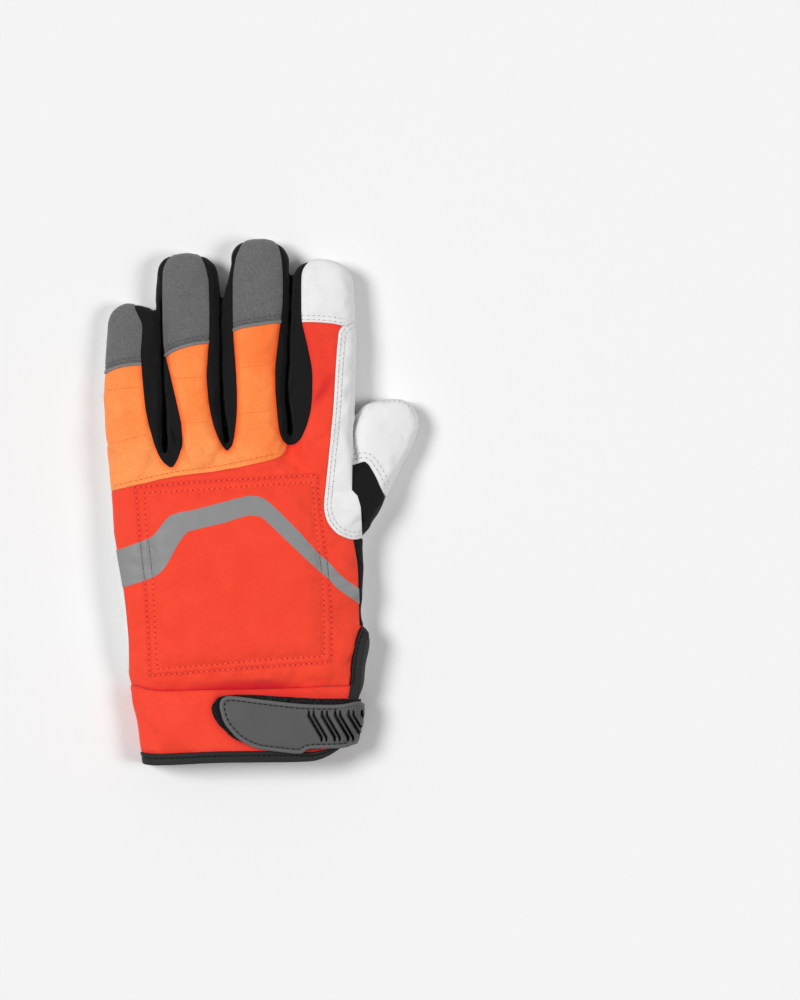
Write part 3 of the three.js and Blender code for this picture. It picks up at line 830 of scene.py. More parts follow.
def below_seam(offset):
    tools = []
    for line, low, high in ((PALM_SEAM, OUTER_SIDE, REACH), (OUTER_SEAM, -REACH, OUTER_SIDE + 1)):
        profile = np.array([(y, z + offset) for y, z in line])
        outline = beyond(profile, (REACH, -REACH), (-REACH, -REACH))
        tools.append(prism(outline, low, high, across=True))
    wrap = np.array(OUTER_EDGE, float) + np.array([offset, 0])
    tools.append(prism(line_through(wrap), 6, REACH))
    under = np.array([*OUTER_TOP, (REACH, -REACH), (-REACH, -REACH)], float) + np.array([0, offset])
    limit = prism(under, -REACH, REACH, across=True)
    combine(tools[-1], limit, "INTERSECT")
    remove(limit)
    for tool in tools[1:]:
        combine(tools[0], tool, "UNION")
        remove(tool)
    return tools[0]


def web_outline(rows):
    left = line_through([(left, y) for y, left, _ in rows])
    right = line_through([(right, y) for y, _, right in rows])
    return np.vstack([left, right[::-1]])


def lip_zone():
    top = ((80, -66), (53.6, -65.4), (52.4, -62.7), (51, -60.9))
    return beyond(line_through(LIP_EDGE), (41, -REACH), (80, -REACH), *top)


def cut_pieces(hand):
    """All pieces of skin, still closed where they were cut."""
    rest = keep(hand, above_hem(HEM_TAPE, SEAM_GAP))
    room = grow(lip_zone(), SEAM_GAP)
    cut_away(rest, room, SLIT_HIGH - SEAM_GAP, REACH)
    cut_away(rest, room, LIP_LOW - SEAM_GAP, SLIT_HIGH)
    cut_away(rest, np.array(SLIT), SLIT_LOW, SLIT_HIGH)
    thumb = beyond(np.vstack([THUMB_EDGE[:-1], line_through(THUMB_HEM)]), (REACH, -8), (REACH, 62))
    pieces = {"thumb_leather": cut_piece(rest, "thumb_leather", thumb)}
    cuff = beyond(line_through(CUFF_SEAM), (70, -REACH), (-80, -REACH))
    pieces["cuff_band"] = cut_piece(rest, "cuff_band", cuff)
    palm = copy_of(rest, "palm_leather")
    tool = below_seam(-SEAM_GAP / 2)
    combine(palm, tool, "INTERSECT")
    remove(tool)
    pieces["palm_leather"] = palm
    tool = below_seam(SEAM_GAP / 2)
    combine(rest, tool, "DIFFERENCE")
    remove(tool)
    for name, rows in WEBS.items():
        pieces[name] = cut_piece(rest, name, web_outline(rows))
    gusset = beyond(np.array(GUSSET_EDGE), (80, 21), (80, -16.6))
    pieces["thumb_gusset"] = cut_piece(rest, "thumb_gusset", gusset)
    caps = (
        ("cap_little", LITTLE_CAP, 112),
        ("cap_ring", RING_CAP, 130),
        ("cap_middle", MIDDLE_CAP, 136),
        ("cap_index", INDEX_CAP, 130),
    )
    for name, hem, end in caps:
        outline = beyond(line_through(hem), (hem[-1][0], end), (hem[0][0], end))
        pieces[name] = cut_piece(rest, name, outline)
    guard = beyond(line_through(GUARD_EDGE), (80, -17.4), (80, 112))
    pieces["index_guard"] = cut_piece(rest, "index_guard", guard)
    side = beyond(line_through(SIDE_GUSSET_EDGE), (80, -60.5), (80, -14))
    pieces["side_gusset"] = cut_piece(rest, "side_gusset", side)
    knuckle = beyond(line_through(KNUCKLE_SEAM), (14, REACH), (-90, REACH))
    pieces["knuckle_panel"] = cut_piece(rest, "knuckle_panel", knuckle)
    pieces["back_panel"] = copy_of(rest, "back_panel")
    remove(rest)
    return pieces


def open_skin(obj):
    """Takes the cut faces off, so that only the outer skin of the piece stays, and its stray scraps too."""
    index = np.empty(len(obj.data.polygons), np.int32)
    obj.data.polygons.foreach_get("material_index", index)
    select_none(obj, "FACE")
    obj.data.polygons.foreach_set("select", index == 1)
    bpy.ops.object.mode_set(mode="EDIT")
    bpy.ops.mesh.delete(type="FACE")
    bpy.ops.mesh.select_all(action="SELECT")
    bpy.ops.mesh.remove_doubles(threshold=0.04 * MM)
    bpy.ops.mesh.delete_loose()
    bpy.ops.object.mode_set(mode="OBJECT")
    drop_scraps(obj)
    return obj


def drop_scraps(obj):
    """Keeps the largest connected part only."""
    pairs = edge_ends(obj)
    label = np.arange(len(obj.data.vertices))
    while True:
        low = np.minimum(label[pairs[:, 0]], label[pairs[:, 1]])
        fresh = label.copy()
        np.minimum.at(fresh, pairs[:, 0], low)
        np.minimum.at(fresh, pairs[:, 1], low)
        fresh = fresh[fresh]
        if np.array_equal(fresh, label):
            break
        label = fresh
    largest = np.bincount(label).argmax()
    scraps = label != largest
    if scraps.any():
        select_none(obj, "VERT")
        obj.data.vertices.foreach_set("select", scraps)
        bpy.ops.object.mode_set(mode="EDIT")
        bpy.ops.mesh.delete(type="VERT")
        bpy.ops.object.mode_set(mode="OBJECT")


def rim_points(obj):
    """Points close together along the open edges of a skin."""
    used = np.zeros(len(obj.data.edges), int)
    links = np.empty(len(obj.data.loops), np.int32)
    obj.data.loops.foreach_get("edge_index", links)
    np.add.at(used, links, 1)
    ends = edge_ends(obj)[used == 1]
    places = coords(obj)
    share = np.linspace(0, 1, 5)[None, :, None]
    a, b = places[ends[:, 0]][:, None], places[ends[:, 1]][:, None]
    return (a + (b - a) * share).reshape(-1, 3)


def rim_distance(obj):
    tree = tree_of(rim_points(obj))
    return np.array([tree.find(place)[2] for place in coords(obj)])


def mark(obj, name, values):
    layer = obj.data.attributes.new(name, "FLOAT", "POINT")
    layer.data.foreach_set("value", values.astype(np.float32))


def remember_skin(hand):
    """The whole skin's places and the way it faces there, for the pieces that are cut from it."""
    return tree_of(coords(hand)), normals(hand)


def facing(places):
    """The way the whole skin faces at places on it."""
    tree, out = whole_skin
    near = np.array([[hit[1] for hit in tree.find_n(place, 3)] for place in places])
    mean = out[near].sum(axis=1)
    return mean / np.linalg.norm(mean, axis=1)[:, None]


def sew_up(obj, lift, roll, roll_width, wall, relief=None):
    """Turns an open skin into a cloth or leather piece: its edges roll in and it gets its thickness."""
    places = coords(obj)
    out = facing(places)
    edge = rim_distance(obj)
    move = lift - roll * np.clip(1 - edge / roll_width, 0, 1) ** 2
    if relief is not None:
        move = move + relief(obj, places, edge)
    places += out * move[:, None]
    places[:, 2] = np.maximum(places[:, 2], 0)
    set_coords(obj, places)
    mark(obj, "edge", edge)
    apply_modifier(
        obj, "SOLIDIFY", thickness=wall * MM, offset=-1, use_quality_normals=True, use_rim=True,
        material_offset=1,
    )
    both = coords(obj)
    count = len(places)
    first_moved = np.abs(both[:count] - places).sum()
    second_moved = np.abs(both[count:] - places).sum()
    inner = slice(0, count) if first_moved > second_moved else slice(count, 2 * count)
    both[inner] = places - out * wall
    both[:, 2] = np.maximum(both[:, 2], 0)
    set_coords(obj, both)
    only(obj)
    bpy.ops.object.shade_smooth_by_angle(angle=SMOOTH_BELOW)
    return obj


# Surface relief of the pieces, in millimetres along the normal; they also mark where shade and highlights are
# painted


def dents(gap, rows, width):
    return sum(DENT_DEPTH * bell(gap - row, width) for row in rows)


def back_relief(obj, places, edge):
    outer, _ = distance_to(pad_row(PAD_OUTER), places)
    inner, _ = distance_to(pad_row(PAD_INNER), places)
    within = inside(pad_row(PAD_INNER), places)
    puff = np.where(within, 0.7 * ease(0, 9, inner), 0)
    groove = 0.4 * bell(outer, 0.9) + 0.4 * bell(inner, 0.9)
    pucker = 0.14 * ripple(places, 5.5, 31) * (bell(outer - 2, 2) + bell(inner - 2, 2))
    seam, _ = distance_to(line_through(CUFF_SEAM), places)
    depth = np.interp(places[:, 0], TUCK_PLACES, TUCK_DEPTHS)
    top = ease(14, 20, places[:, 2])
    tuck = 0.75 * depth * (1 - ease(0, 5.5, seam)) * top
    end, along = distance_to(line_through(INDEX_FOLD), places)
    web = distance_to(web_outline(WEB_MIDDLE_INDEX), places)[0]
    web = np.minimum(web, distance_to(web_outline(WEB_RING_MIDDLE), places)[0])
    height = 4 + 2.4 * bell(places[:, 0] + 6, 16)
    # Painted shade: a deep red painted where the back tucks in above the cuff seam, along that seam, the
    # index fold, beside the webs, the knuckle seam and the pad's outer row, and more towards the fingers
    shade = 1.1 * (depth / max(TUCK_DEPTHS)) ** 1.5 * (1 - ease(0.3, height, seam)) + 0.6 * bell(seam, 0.5)
    shade += 0.5 * bell(end, 2.2) * np.sin(along * math.pi) + 0.16 * (1 - ease(0.3, 2.6, web))
    knuckle, _ = distance_to(line_through(KNUCKLE_SEAM), places)
    shade += 0.14 * (1 - ease(0, 2.2, knuckle)) + 0.3 * bell(outer - 0.5, 0.6)
    shade += 0.2 * ease(40, 60, places[:, 1])
    mark(obj, "fold", np.clip(shade, 0, 1))
    return puff - groove + pucker - tuck - 0.3 * bell(end, 1.8)


def knuckle_relief(obj, places, edge):
    move = 0.35 * ease(1.2, 5, edge)
    for row in QUILTING:
        gap, _ = distance_to(np.array(row, float), places)
        move = move - 0.38 * bell(gap, 1.3)
    seam, _ = distance_to(line_through(KNUCKLE_SEAM), places)
    move = move - 0.22 * bell(seam - KNUCKLE_ROW, 0.7)
    # Painted shade: a deep orange painted beside the webs and along the orange fold, more towards the index
    # side and the fingertips, varied at random
    shade = np.zeros(len(places))
    for rows, width in ((WEB_LITTLE_RING, 3.2), (WEB_RING_MIDDLE, 3.2), (WEB_MIDDLE_INDEX, 3.0)):
        web, _ = distance_to(web_outline(rows), places)
        right = places[:, 0] > np.interp(places[:, 1], [17, 60, 125], [-42, -46, -48])
        shade = np.maximum(shade, (1 - ease(0.3, width, web)) * np.where(right, 0.75, 0.55))
    fold, reach = distance_to(line_through(ORANGE_FOLD), places)
    shade = np.maximum(shade, 0.9 * bell(fold, 1.5) * (1 - ease(0.2, 0.95, reach)))
    shade += 0.24 * ease(-30, 8, places[:, 0]) + 0.16 * ease(52, 74, places[:, 1])
    shade += 0.15 * ripple(places, 22, 41)
    mark(obj, "fold", np.clip(shade, 0, 1))
    # The orange is painted paler towards the wrist and the little finger's side
    mark(obj, "paler_lower_outer", 0.8 * (1 - ease(18, 46, places[:, 1])) * (1 - ease(-10, 8, places[:, 0])))
    return move


def cap_relief(hem):
    def relief(obj, places, edge):
        gap, _ = distance_to(line_through(hem), places)
        # A narrow band along the hem, painted paler as the highlight on its rolled edge
        mark(obj, "hem", 1 - ease(0.9, 1.5, gap))
        step = bell(gap - CAP_HEM, 0.42)
        row = bell(gap - CAP_ROW, 0.6)
        # Painted shade in the groove above the hem and along the stitch row
        mark(obj, "crease_shade", 0.8 * step + 0.25 * row)
        fold = 0.4 * (1 - ease(1.2, 1.8, gap))
        groove = 0.45 * step + 0.22 * row
        return fold - groove + 0.2 * ease(2, 6, edge)

    return relief


def index_cap_relief(obj, places, edge):
    gap, _ = distance_to(line_through(INDEX_CAP), places)
    return 0.25 * ease(2, 6, edge) - dents(gap, INDEX_CAP_ROWS, 0.6)


def guard_relief(obj, places, edge):
    gap, _ = distance_to(line_through(GUARD_EDGE), places)
    rows = dents(gap, GUARD_ROWS, 0.55)
    return 0.2 * ease(4, 8, gap) - rows + 0.05 * ripple(places, 7, 21)


def thumb_relief(obj, places, edge):
    gap, _ = distance_to(line_through(THUMB_HEM), places)
    rows = dents(gap, THUMB_DENTS, 0.55)
    side, _ = distance_to(np.array(THUMB_EDGE), places)
    tip, _ = distance_to(line_through(THUMB_TIP_ROW), places)
    dip = (1.1 * bell(side, 1.6) + 1.0 * bell(side, 3.6)) * ease(6, 12, places[:, 2])
    dip += 0.25 * bell(tip, 0.7)
    return 0.2 * ripple(places, 17, 23) + 0.05 * ripple(places, 5, 25) - rows - dip


def cuff_relief(obj, places, edge):
    seam, _ = distance_to(line_through(CUFF_SEAM), places)
    strap, _ = distance_to(line_through(STRAP_BACKING), places)
    low, _ = distance_to(line_through(HEM), places)
    # Painted shade: a deep red painted along the seam, in a band beside it, beside the strap and near the hem
    above = bell(places[:, 0] - 12, 30) * (1 - ease(1, 9, seam))
    near = 0.4 * bell(strap, 2.6) + 0.3 * (1 - ease(5.6, 8.5, low))
    mark(obj, "fold", np.clip(0.3 * bell(seam, 0.5) + 0.16 * above + near, 0, 1))
    return 0.25 * ease(1, 8, edge) + 0.3 * bell(seam - 1.6, 1.6) + 0.1 * ripple(places, 14, 27)


def web_relief(obj, places, edge):
    dark = np.zeros(len(places))
    for line in CREASES.values():
        gap, along = distance_to(line_through(line), places)
        width = 0.45 + 0.5 * ease(0.75, 0.97, along)
        dark = np.maximum(dark, bell(gap, width))
    gap, along = distance_to(line_through(SIDE_CREASE), places)
    dark = np.maximum(dark, bell(gap, 0.5) * np.sin(along * math.pi) ** 0.5)
    # Painted shade: the creases are painted nearly black
    mark(obj, "crease_shade", dark)
    return 0.12 * ripple(places, 8, 29) - 0.3 * dark


# Strap and binding, cut from grown copies of the wrist


def shell(inner, outer):
    """A wall round the body, between two distances from it, open at both ends."""
    wall = tube("wrist", BODY, grown=outer)
    hole = tube("hole", BODY, grown=inner)
    places = coords(hole)
    middle = -50.0
    places[:, 1] = middle + (places[:, 1] - middle) * 1.02
    set_coords(hole, places)
    add_slots(wall)
    add_slots(hole)
    combine(wall, hole, "DIFFERENCE")
    remove(hole)
    return wall


def strap_layer(name, outline, size):
    inner = size["lift"]
    outer = size["lift"] + size["thick"]
    over = keep(shell(inner, outer), line_through(outline), STRAP_TURN, REACH)
    under = keep(shell(inner, outer), np.array(STRAP_UNDER, float), 0, STRAP_TURN + 0.01)
    combine(over, under, "UNION")
    remove(under)
    over.name = name
    return over


def rounded(obj, voxel, passes):
    apply_modifier(obj, "REMESH", mode="VOXEL", voxel_size=voxel * MM)
    apply_modifier(obj, "SMOOTH", factor=0.5, iterations=passes)
    places = coords(obj)
    places[:, 2] = np.maximum(places[:, 2], 0)
    set_coords(obj, places)
    only(obj)
    bpy.ops.object.shade_smooth()
    return obj


def groove_line(x):
    """One groove: short and upright at its top, a slant, and upright again."""
    return np.array([(x, -101.9), (x, -104.5), (x + 6.2, -115.2), (x + 6.2, -117.4)])


def groove_outline(x, width):
    """Its outline, narrow at both ends."""
    half = np.array([0.3, 0.5, 0.5, 0.3])[:, None] * (width, 0.2)
    right = groove_line(x) + half
    left = groove_line(x) - half
    return np.vstack([right, left[::-1]])


def make_strap_cover():
    cover = strap_layer("strap_cover", STRAP_COVER, COVER)
    for x, side in GROOVES:
        tool = prism(groove_outline(x, GROOVE_WIDTH[side]), STRAP_TURN - 4, REACH)
        floor = tube("floor", BODY, grown=COVER["lift"] + COVER["thick"] - GROOVE_DEPTH)
        add_slots(floor)
        combine(tool, floor, "DIFFERENCE")
        combine(cover, tool, "DIFFERENCE")
        remove(tool, floor)
    rounded(cover, COVER_VOXEL, 2)
    places = coords(cover)
    gap, _ = distance_to(line_through(STRAP_COVER), places)
    top = ease(0.05, 0.4, normals(cover)[:, 2])
    channel = bell(gap - COVER_ROW, 0.75)
    move = 0.2 * (1 - ease(1.3, 1.9, gap)) - 0.12 * channel
    pit_shade = np.zeros(len(places))
    for x, side in GROOVES:
        away, along = distance_to(groove_line(x), places)
        ends = ease(0, 0.2, along) * (1 - ease(0.82, 1, along))
        pit_shade = np.maximum(pit_shade, bell(away, 0.4 + (0.5 - 0.16 * side) * ends) * (0.4 + 0.6 * ends))
    places += normals(cover) * (top * move)[:, None]
    set_coords(cover, places)
    # Painted shade in the grooves and, very faintly, in the stitch channel, and a painted highlight along the
    # raised rim
    mark(cover, "groove", np.clip(pit_shade, 0, 1) * top)
    mark(cover, "rim_highlight", (1 - ease(1.2, 1.8, gap)) * top)
    mark(cover, "channel", channel * top)
    return cover


def make_strap_backing():
    backing = strap_layer("strap_backing", STRAP_BACKING, BACKING)
    return rounded(backing, FINE_VOXEL, 2)


def make_binding():
    hem = shell(-2.2, 0.7)
    keep(hem, above_hem(0))
    lips = copy_of(hem, "lips")
    cut_away(hem, above_hem(HEM_TAPE))
    keep(lips, lip_zone(), LIP_LOW, REACH)
    combine(hem, lips, "UNION")
    remove(lips)
    cut_away(hem, np.array(SLIT), SLIT_LOW, SLIT_HIGH)
    hem.name = "edge_binding"
    rounded(hem, FINE_VOXEL, 3)
    places = coords(hem)
    row, _ = distance_to(hem_row(HEM_ROW), places)
    lip, _ = distance_to(line_through(LIP_EDGE), places)
    along_lip = ease(-104, -99, places[:, 1]) * ease(12, 15, places[:, 2])
    fullness = 0.9 * bell(lip - 3.9, 1.3) - 0.3 * bell(lip - LIP_ROW, 0.7)
    places += normals(hem) * (fullness * along_lip - 0.28 * bell(row, 0.6))[:, None]
    set_coords(hem, places)
    return hem


def make_stripe(back):
    """The film lies just above the back panel's own surface."""
    stripe = copy_of(back, "reflective_stripe")
    outline = np.vstack([line_through(STRIPE_UPPER), line_through(STRIPE_LOWER)])
    keep(stripe, outline, 12, REACH)
    return stripe


# Materials


class Socket:
    """A shader socket whose arithmetic adds Math nodes."""

    def __init__(self, tree, socket):
        self.tree = tree
        self.socket = socket

    def math(self, operation, *values, clamp=False):
        return self.tree.node("ShaderNodeMath", {"operation": operation, "use_clamp": clamp}, *values)

    def __add__(self, other):
        return self.math("ADD", self, other)

    __radd__ = __add__

    def __mul__(self, other):
        return self.math("MULTIPLY", self, other)

    __rmul__ = __mul__

    def __sub__(self, other):
        return self.math("SUBTRACT", self, other)

    def __rsub__(self, other):
        return self.math("SUBTRACT", other, self)

    def __truediv__(self, other):
        return self.math("DIVIDE", self, other)

    def __pow__(self, other):
        return self.math("POWER", self, other)

    def sine(self):
        return self.math("SINE", self)

    def clamped(self):
        return self.math("ADD", self, 0.0, clamp=True)


class Finish:
    """A material under construction."""

    def __init__(self, name, roughness, **constants):
        self.material = bpy.data.materials.new(name)
        self.material.use_nodes = True
        self.nodes = self.material.node_tree.nodes
        self.links = self.material.node_tree.links
        self.shader = self.nodes["Principled BSDF"]
        self.shader.inputs["Roughness"].default_value = roughness
        for key, value in constants.items():
            self.shader.inputs[key.replace("_", " ")].default_value = value

    def node(self, kind, settings, *values, output=0, **named):
        made = self.nodes.new(kind)
        for key, value in settings.items():
            setattr(made, key, value)
        for i, value in enumerate(values):
            self.feed(made.inputs[i], value)
        for key, value in named.items():
            self.feed(made.inputs[key.replace("_", " ")], value)
        return Socket(self, made.outputs[output])

    def feed(self, entry, value):
        if isinstance(value, Socket):
            self.links.new(value.socket, entry)
        elif value is not None:
            entry.default_value = value

    def place(self):
        return self.node("ShaderNodeTexCoord", {}, output=3)

    def axes(self):
        split = self.node("ShaderNodeSeparateXYZ", {}, self.place())
        node = split.socket.node
        return [Socket(self, node.outputs[i]) for i in range(3)]

    def attribute(self, name):
        return self.node("ShaderNodeAttribute", {"attribute_name": name}, output=2)

    def noise(self, size_mm, detail=2.0, roughness=0.5, distortion=0.0):
        return self.node(
            "ShaderNodeTexNoise", {}, Vector=self.place(), Scale=1 / (size_mm * MM), Detail=detail,
            Roughness=roughness, Distortion=distortion,
        )

    def cells(self, size_mm):
        return self.node(
            "ShaderNodeTexVoronoi", {}, output="Distance", Vector=self.place(), Scale=1 / (size_mm * MM)
        )

    def mix(self, share, first, second):
        made = self.nodes.new("ShaderNodeMix")
        made.data_type = "RGBA"
        self.feed(made.inputs[0], share)
        self.feed(made.inputs[6], first)
        self.feed(made.inputs[7], second)
        return Socket(self, made.outputs[2])

    def color(self, value):
        self.feed(self.shader.inputs["Base Color"], value)

    def roughness(self, value):
        self.feed(self.shader.inputs["Roughness"], value)

    def bump(self, height, depth_mm):
        bumped = self.node("ShaderNodeBump", {}, Strength=1.0, Distance=depth_mm * MM, Height=height)
        self.feed(self.shader.inputs["Normal"], bumped)


def rgb(red, green, blue):
    return (red, green, blue, 1.0)


def grey(level):
    return rgb(level, level, level)


def twill(name, base, shade, light, deep_tone_and_shade, mottle):
    """Woven shell cloth with a fine diagonal rib; its deep colour mottles it at random and is painted as
    shade where the pieces mark folds, seams and webs.
    """
    cloth = Finish(name, 0.78, Sheen_Weight=0.12, Sheen_Roughness=0.5, Specular_IOR_Level=0.25)
    x, y, z = cloth.axes()
    rib = ((x + y + z * 0.7) * (2 * math.pi / (0.62 * MM))).sine()
    cross = ((x - y + z * 0.7) * (2 * math.pi / (0.45 * MM))).sine()
    weave = rib * 0.35 + cross * 0.15 + 0.5
    cloud = cloth.noise(14, detail=3)
    tone = cloth.mix((cloud * 1.6 - 0.3).clamped(), rgb(*shade), rgb(*light))
    plain = cloth.mix((weave * 0.35 + cloth.noise(0.5) * 0.3).clamped(), tone, rgb(*base))
    # Paler, towards the light colour, where a piece marks it
    flat = cloth.mix(cloth.attribute("paler_lower_outer").clamped(), plain, rgb(*light))
    mottled = cloth.mix((cloth.noise(0.9, detail=3) * 2.4 - 0.9).clamped() * mottle, flat, rgb(*deep_tone_and_shade))
    # Painted shade: the deep colour painted where the pieces mark folds, seams and webs
    cloth.color(cloth.mix(cloth.attribute("fold").clamped(), mottled, rgb(*deep_tone_and_shade)))
    cloth.bump(weave * 0.7 + cloth.noise(0.35, detail=1) * 0.5, 0.05)
    return cloth.material


def suede():
    nap = Finish("suede_grey", 0.95, Sheen_Weight=0.25, Sheen_Roughness=0.6, Specular_IOR_Level=0.15)
    fine = nap.noise(0.85, detail=3, roughness=0.7)
    broad = nap.noise(9, detail=3)
    hem = nap.attribute("hem")
    body = nap.mix((fine * 3.0 - 1.0).clamped(), grey(0.088), rgb(0.168, 0.168, 0.169))
    shifted = nap.mix((broad * 0.8 - 0.15).clamped(), body, rgb(0.13, 0.13, 0.131))
    # Painted highlight: paler along the rolled hem
    highlit_hem = nap.mix(hem * 0.7, shifted, rgb(0.24, 0.24, 0.242))
    # Painted shade in the grooves
    shaded_recess = nap.mix(nap.attribute("crease_shade").clamped(), highlit_hem, grey(0.055))
    flecks = ((nap.cells(3.4) * -9.0 + 1.0).clamped() * (nap.noise(2.3) * 6.0 - 3.2).clamped()).clamped()
    nap.color(nap.mix(flecks * 0.7, shaded_recess, grey(0.5)))
    nap.bump(fine + broad * 0.5, 0.09)
    return nap.material


def leather():
    hide = Finish("leather_white", 0.62, Specular_IOR_Level=0.3)
    base = (0.8, 0.8, 0.796)
    grain = hide.cells(0.85)
    fine = hide.noise(0.35, detail=2)
    creases = hide.noise(6, detail=4, roughness=0.6, distortion=0.6)
    light = rgb(*[c * 1.03 for c in base])
    dark = rgb(*[c * 0.95 for c in base])
    hide.color(hide.mix((creases * 1.2 - 0.1).clamped(), dark, light))
    hide.roughness(creases * 0.2 + 0.52)
    hide.bump(grain * 0.5 + fine * 0.4 + creases * 1.2, 0.07)
    return hide.material


def knit():
    fabric = Finish("stretch_black", 0.9, Sheen_Weight=0.06, Sheen_Roughness=0.5, Specular_IOR_Level=0.15)
    x, y, z = fabric.axes()
    wales = ((x + z * 0.5) * (2 * math.pi / (0.55 * MM))).sine()
    courses = ((y + z * 0.5) * (2 * math.pi / (0.42 * MM))).sine()
    loops = wales * courses * 0.5 + 0.5
    speck = fabric.noise(0.6, detail=2)
    worn = (loops * 0.4 + speck * 0.6).clamped()
    body = fabric.mix(worn, rgb(0.0048, 0.0048, 0.005), rgb(0.0115, 0.0115, 0.012))
    lint = (fabric.cells(2.1) * -11.0 + 1.0).clamped() * (fabric.noise(1.7) * 5.0 - 2.4).clamped()
    linted = fabric.mix(lint * 0.5, body, grey(0.09))
    # Painted shade: nearly black along the creases
    fabric.color(fabric.mix(fabric.attribute("crease_shade").clamped(), linted, grey(0.0008)))
    fabric.bump(loops * 0.6 + speck, 0.06)
    return fabric.material


def film():
    sheet = Finish("film_silver", 0.53, Specular_IOR_Level=0.3)
    cells = sheet.cells(0.35)
    cloud = sheet.noise(11, detail=2)
    shine = (cloud * 0.3 + cells * 0.5 + 0.15).clamped()
    sheet.color(sheet.mix(shine, rgb(0.228, 0.23, 0.232), rgb(0.262, 0.264, 0.267)))
    sheet.roughness(cloud * 0.06 + 0.5)
    sheet.bump(cells, 0.012)
    return sheet.material


def rubber():
    moulded = Finish("rubber_grey", 0.6, Specular_IOR_Level=0.3)
    fine = moulded.noise(0.4, detail=2)
    cloud = moulded.noise(12, detail=2)
    body = moulded.mix((cloud * 1.2 - 0.1).clamped(), grey(0.08), grey(0.097))
    # Painted highlight on the rim, painted shade in the channel and nearly black in the grooves
    rim_highlit = moulded.mix(moulded.attribute("rim_highlight") * 0.7, body, grey(0.125))
    shaded_recess = moulded.mix(moulded.attribute("channel") * 0.02, rim_highlit, grey(0.045))
    moulded.color(moulded.mix(moulded.attribute("groove").clamped(), shaded_recess, grey(0.002)))
    moulded.roughness(fine * 0.2 + 0.45)
    moulded.bump(fine, 0.02)
    return moulded.material


def tape():
    woven = Finish("tape_black", 0.66, Specular_IOR_Level=0.3, Sheen_Weight=0.02)
    _, y, z = woven.axes()
    ribs = ((y + z * 0.3) * (2 * math.pi / (0.5 * MM))).sine()
    speck = woven.noise(0.5, detail=2)
    woven.color(woven.mix((ribs * 0.3 + speck).clamped(), rgb(0.009, 0.009, 0.0094), rgb(0.02, 0.02, 0.0208)))
    woven.bump(ribs * 0.4 + speck, 0.04)
    return woven.material


def hook_and_loop():
    pile = Finish("loop_black", 0.95, Sheen_Weight=0.1, Specular_IOR_Level=0.1)
    fuzz = pile.noise(0.9, detail=4, roughness=0.8)
    pile.color(pile.mix((fuzz * 4.4 - 1.9).clamped(), rgb(0.002, 0.002, 0.0021), rgb(0.034, 0.034, 0.035)))
    pile.bump(fuzz, 0.25)
    return pile.material


def lining():
    brushed = Finish("lining_grey", 0.95, Sheen_Weight=0.1)
    fuzz = brushed.noise(0.8, detail=4)
    brushed.color(brushed.mix(fuzz, rgb(0.05, 0.05, 0.052), rgb(0.11, 0.11, 0.113)))
    brushed.bump(fuzz, 0.15)
    return brushed.material


def thread(name, color):
    strand = Finish(name, 0.6, Specular_IOR_Level=0.3)
    twist = strand.noise(0.25, detail=1)
    strand.color(strand.mix(twist, rgb(*[c * 0.8 for c in color]), rgb(*color)))
    strand.bump(twist, 0.03)
    return strand.material


# A dark disc painted at a needle hole: the shade in it
def needle_hole_shade(name, color):
    pit_shade = Finish(name, 0.95, Specular_IOR_Level=0.05)
    speck = pit_shade.noise(0.3)
    pit_shade.color(pit_shade.mix(speck, rgb(*[c * 0.7 for c in color]), rgb(*color)))
    return pit_shade.material


# Stitches

STITCH_PITCH = 2.65
THREAD_LENGTH = 0.72
THREAD_RADIUS = 0.2
THREAD_RISE = 0.1
HOLE_RADIUS = 0.32
HOLE_HEIGHT = 0.06
HOLE_RISE = 0.02


def grain_of_rice():
    """One stitch: a strand that dips into the cloth at both ends."""
    deselect()
    bpy.ops.mesh.primitive_uv_sphere_add(segments=6, ring_count=6, radius=1)
    obj = bpy.context.object
    places = coords(obj) * MM
    faces = [tuple(p.vertices) for p in obj.data.polygons]
    remove(obj)
    return places[:, [2, 0, 1]], faces


def spaced(line, pitch):
    legs = np.linalg.norm(np.diff(line, axis=0), axis=1)
    run = np.concatenate([[0], np.cumsum(legs)])
    count = max(1, round(run[-1] / pitch))
    at = np.linspace(0, run[-1], count + 1)
    return np.stack([np.interp(at, run, line[:, i]) for i in range(2)], axis=1)


def drop(trees, spot):
    """The highest point of the pieces at a spot, the surface's direction there and which piece it is."""
    best = None
    for i, tree in enumerate(trees):
        place, normal, _, _ = tree.ray_cast(Vector((spot[0] * MM, spot[1] * MM, 0.1)), Vector((0, 0, -1)))
        if place is not None and (best is None or place.z > best[0].z):
            best = (place, normal, i)
    return best


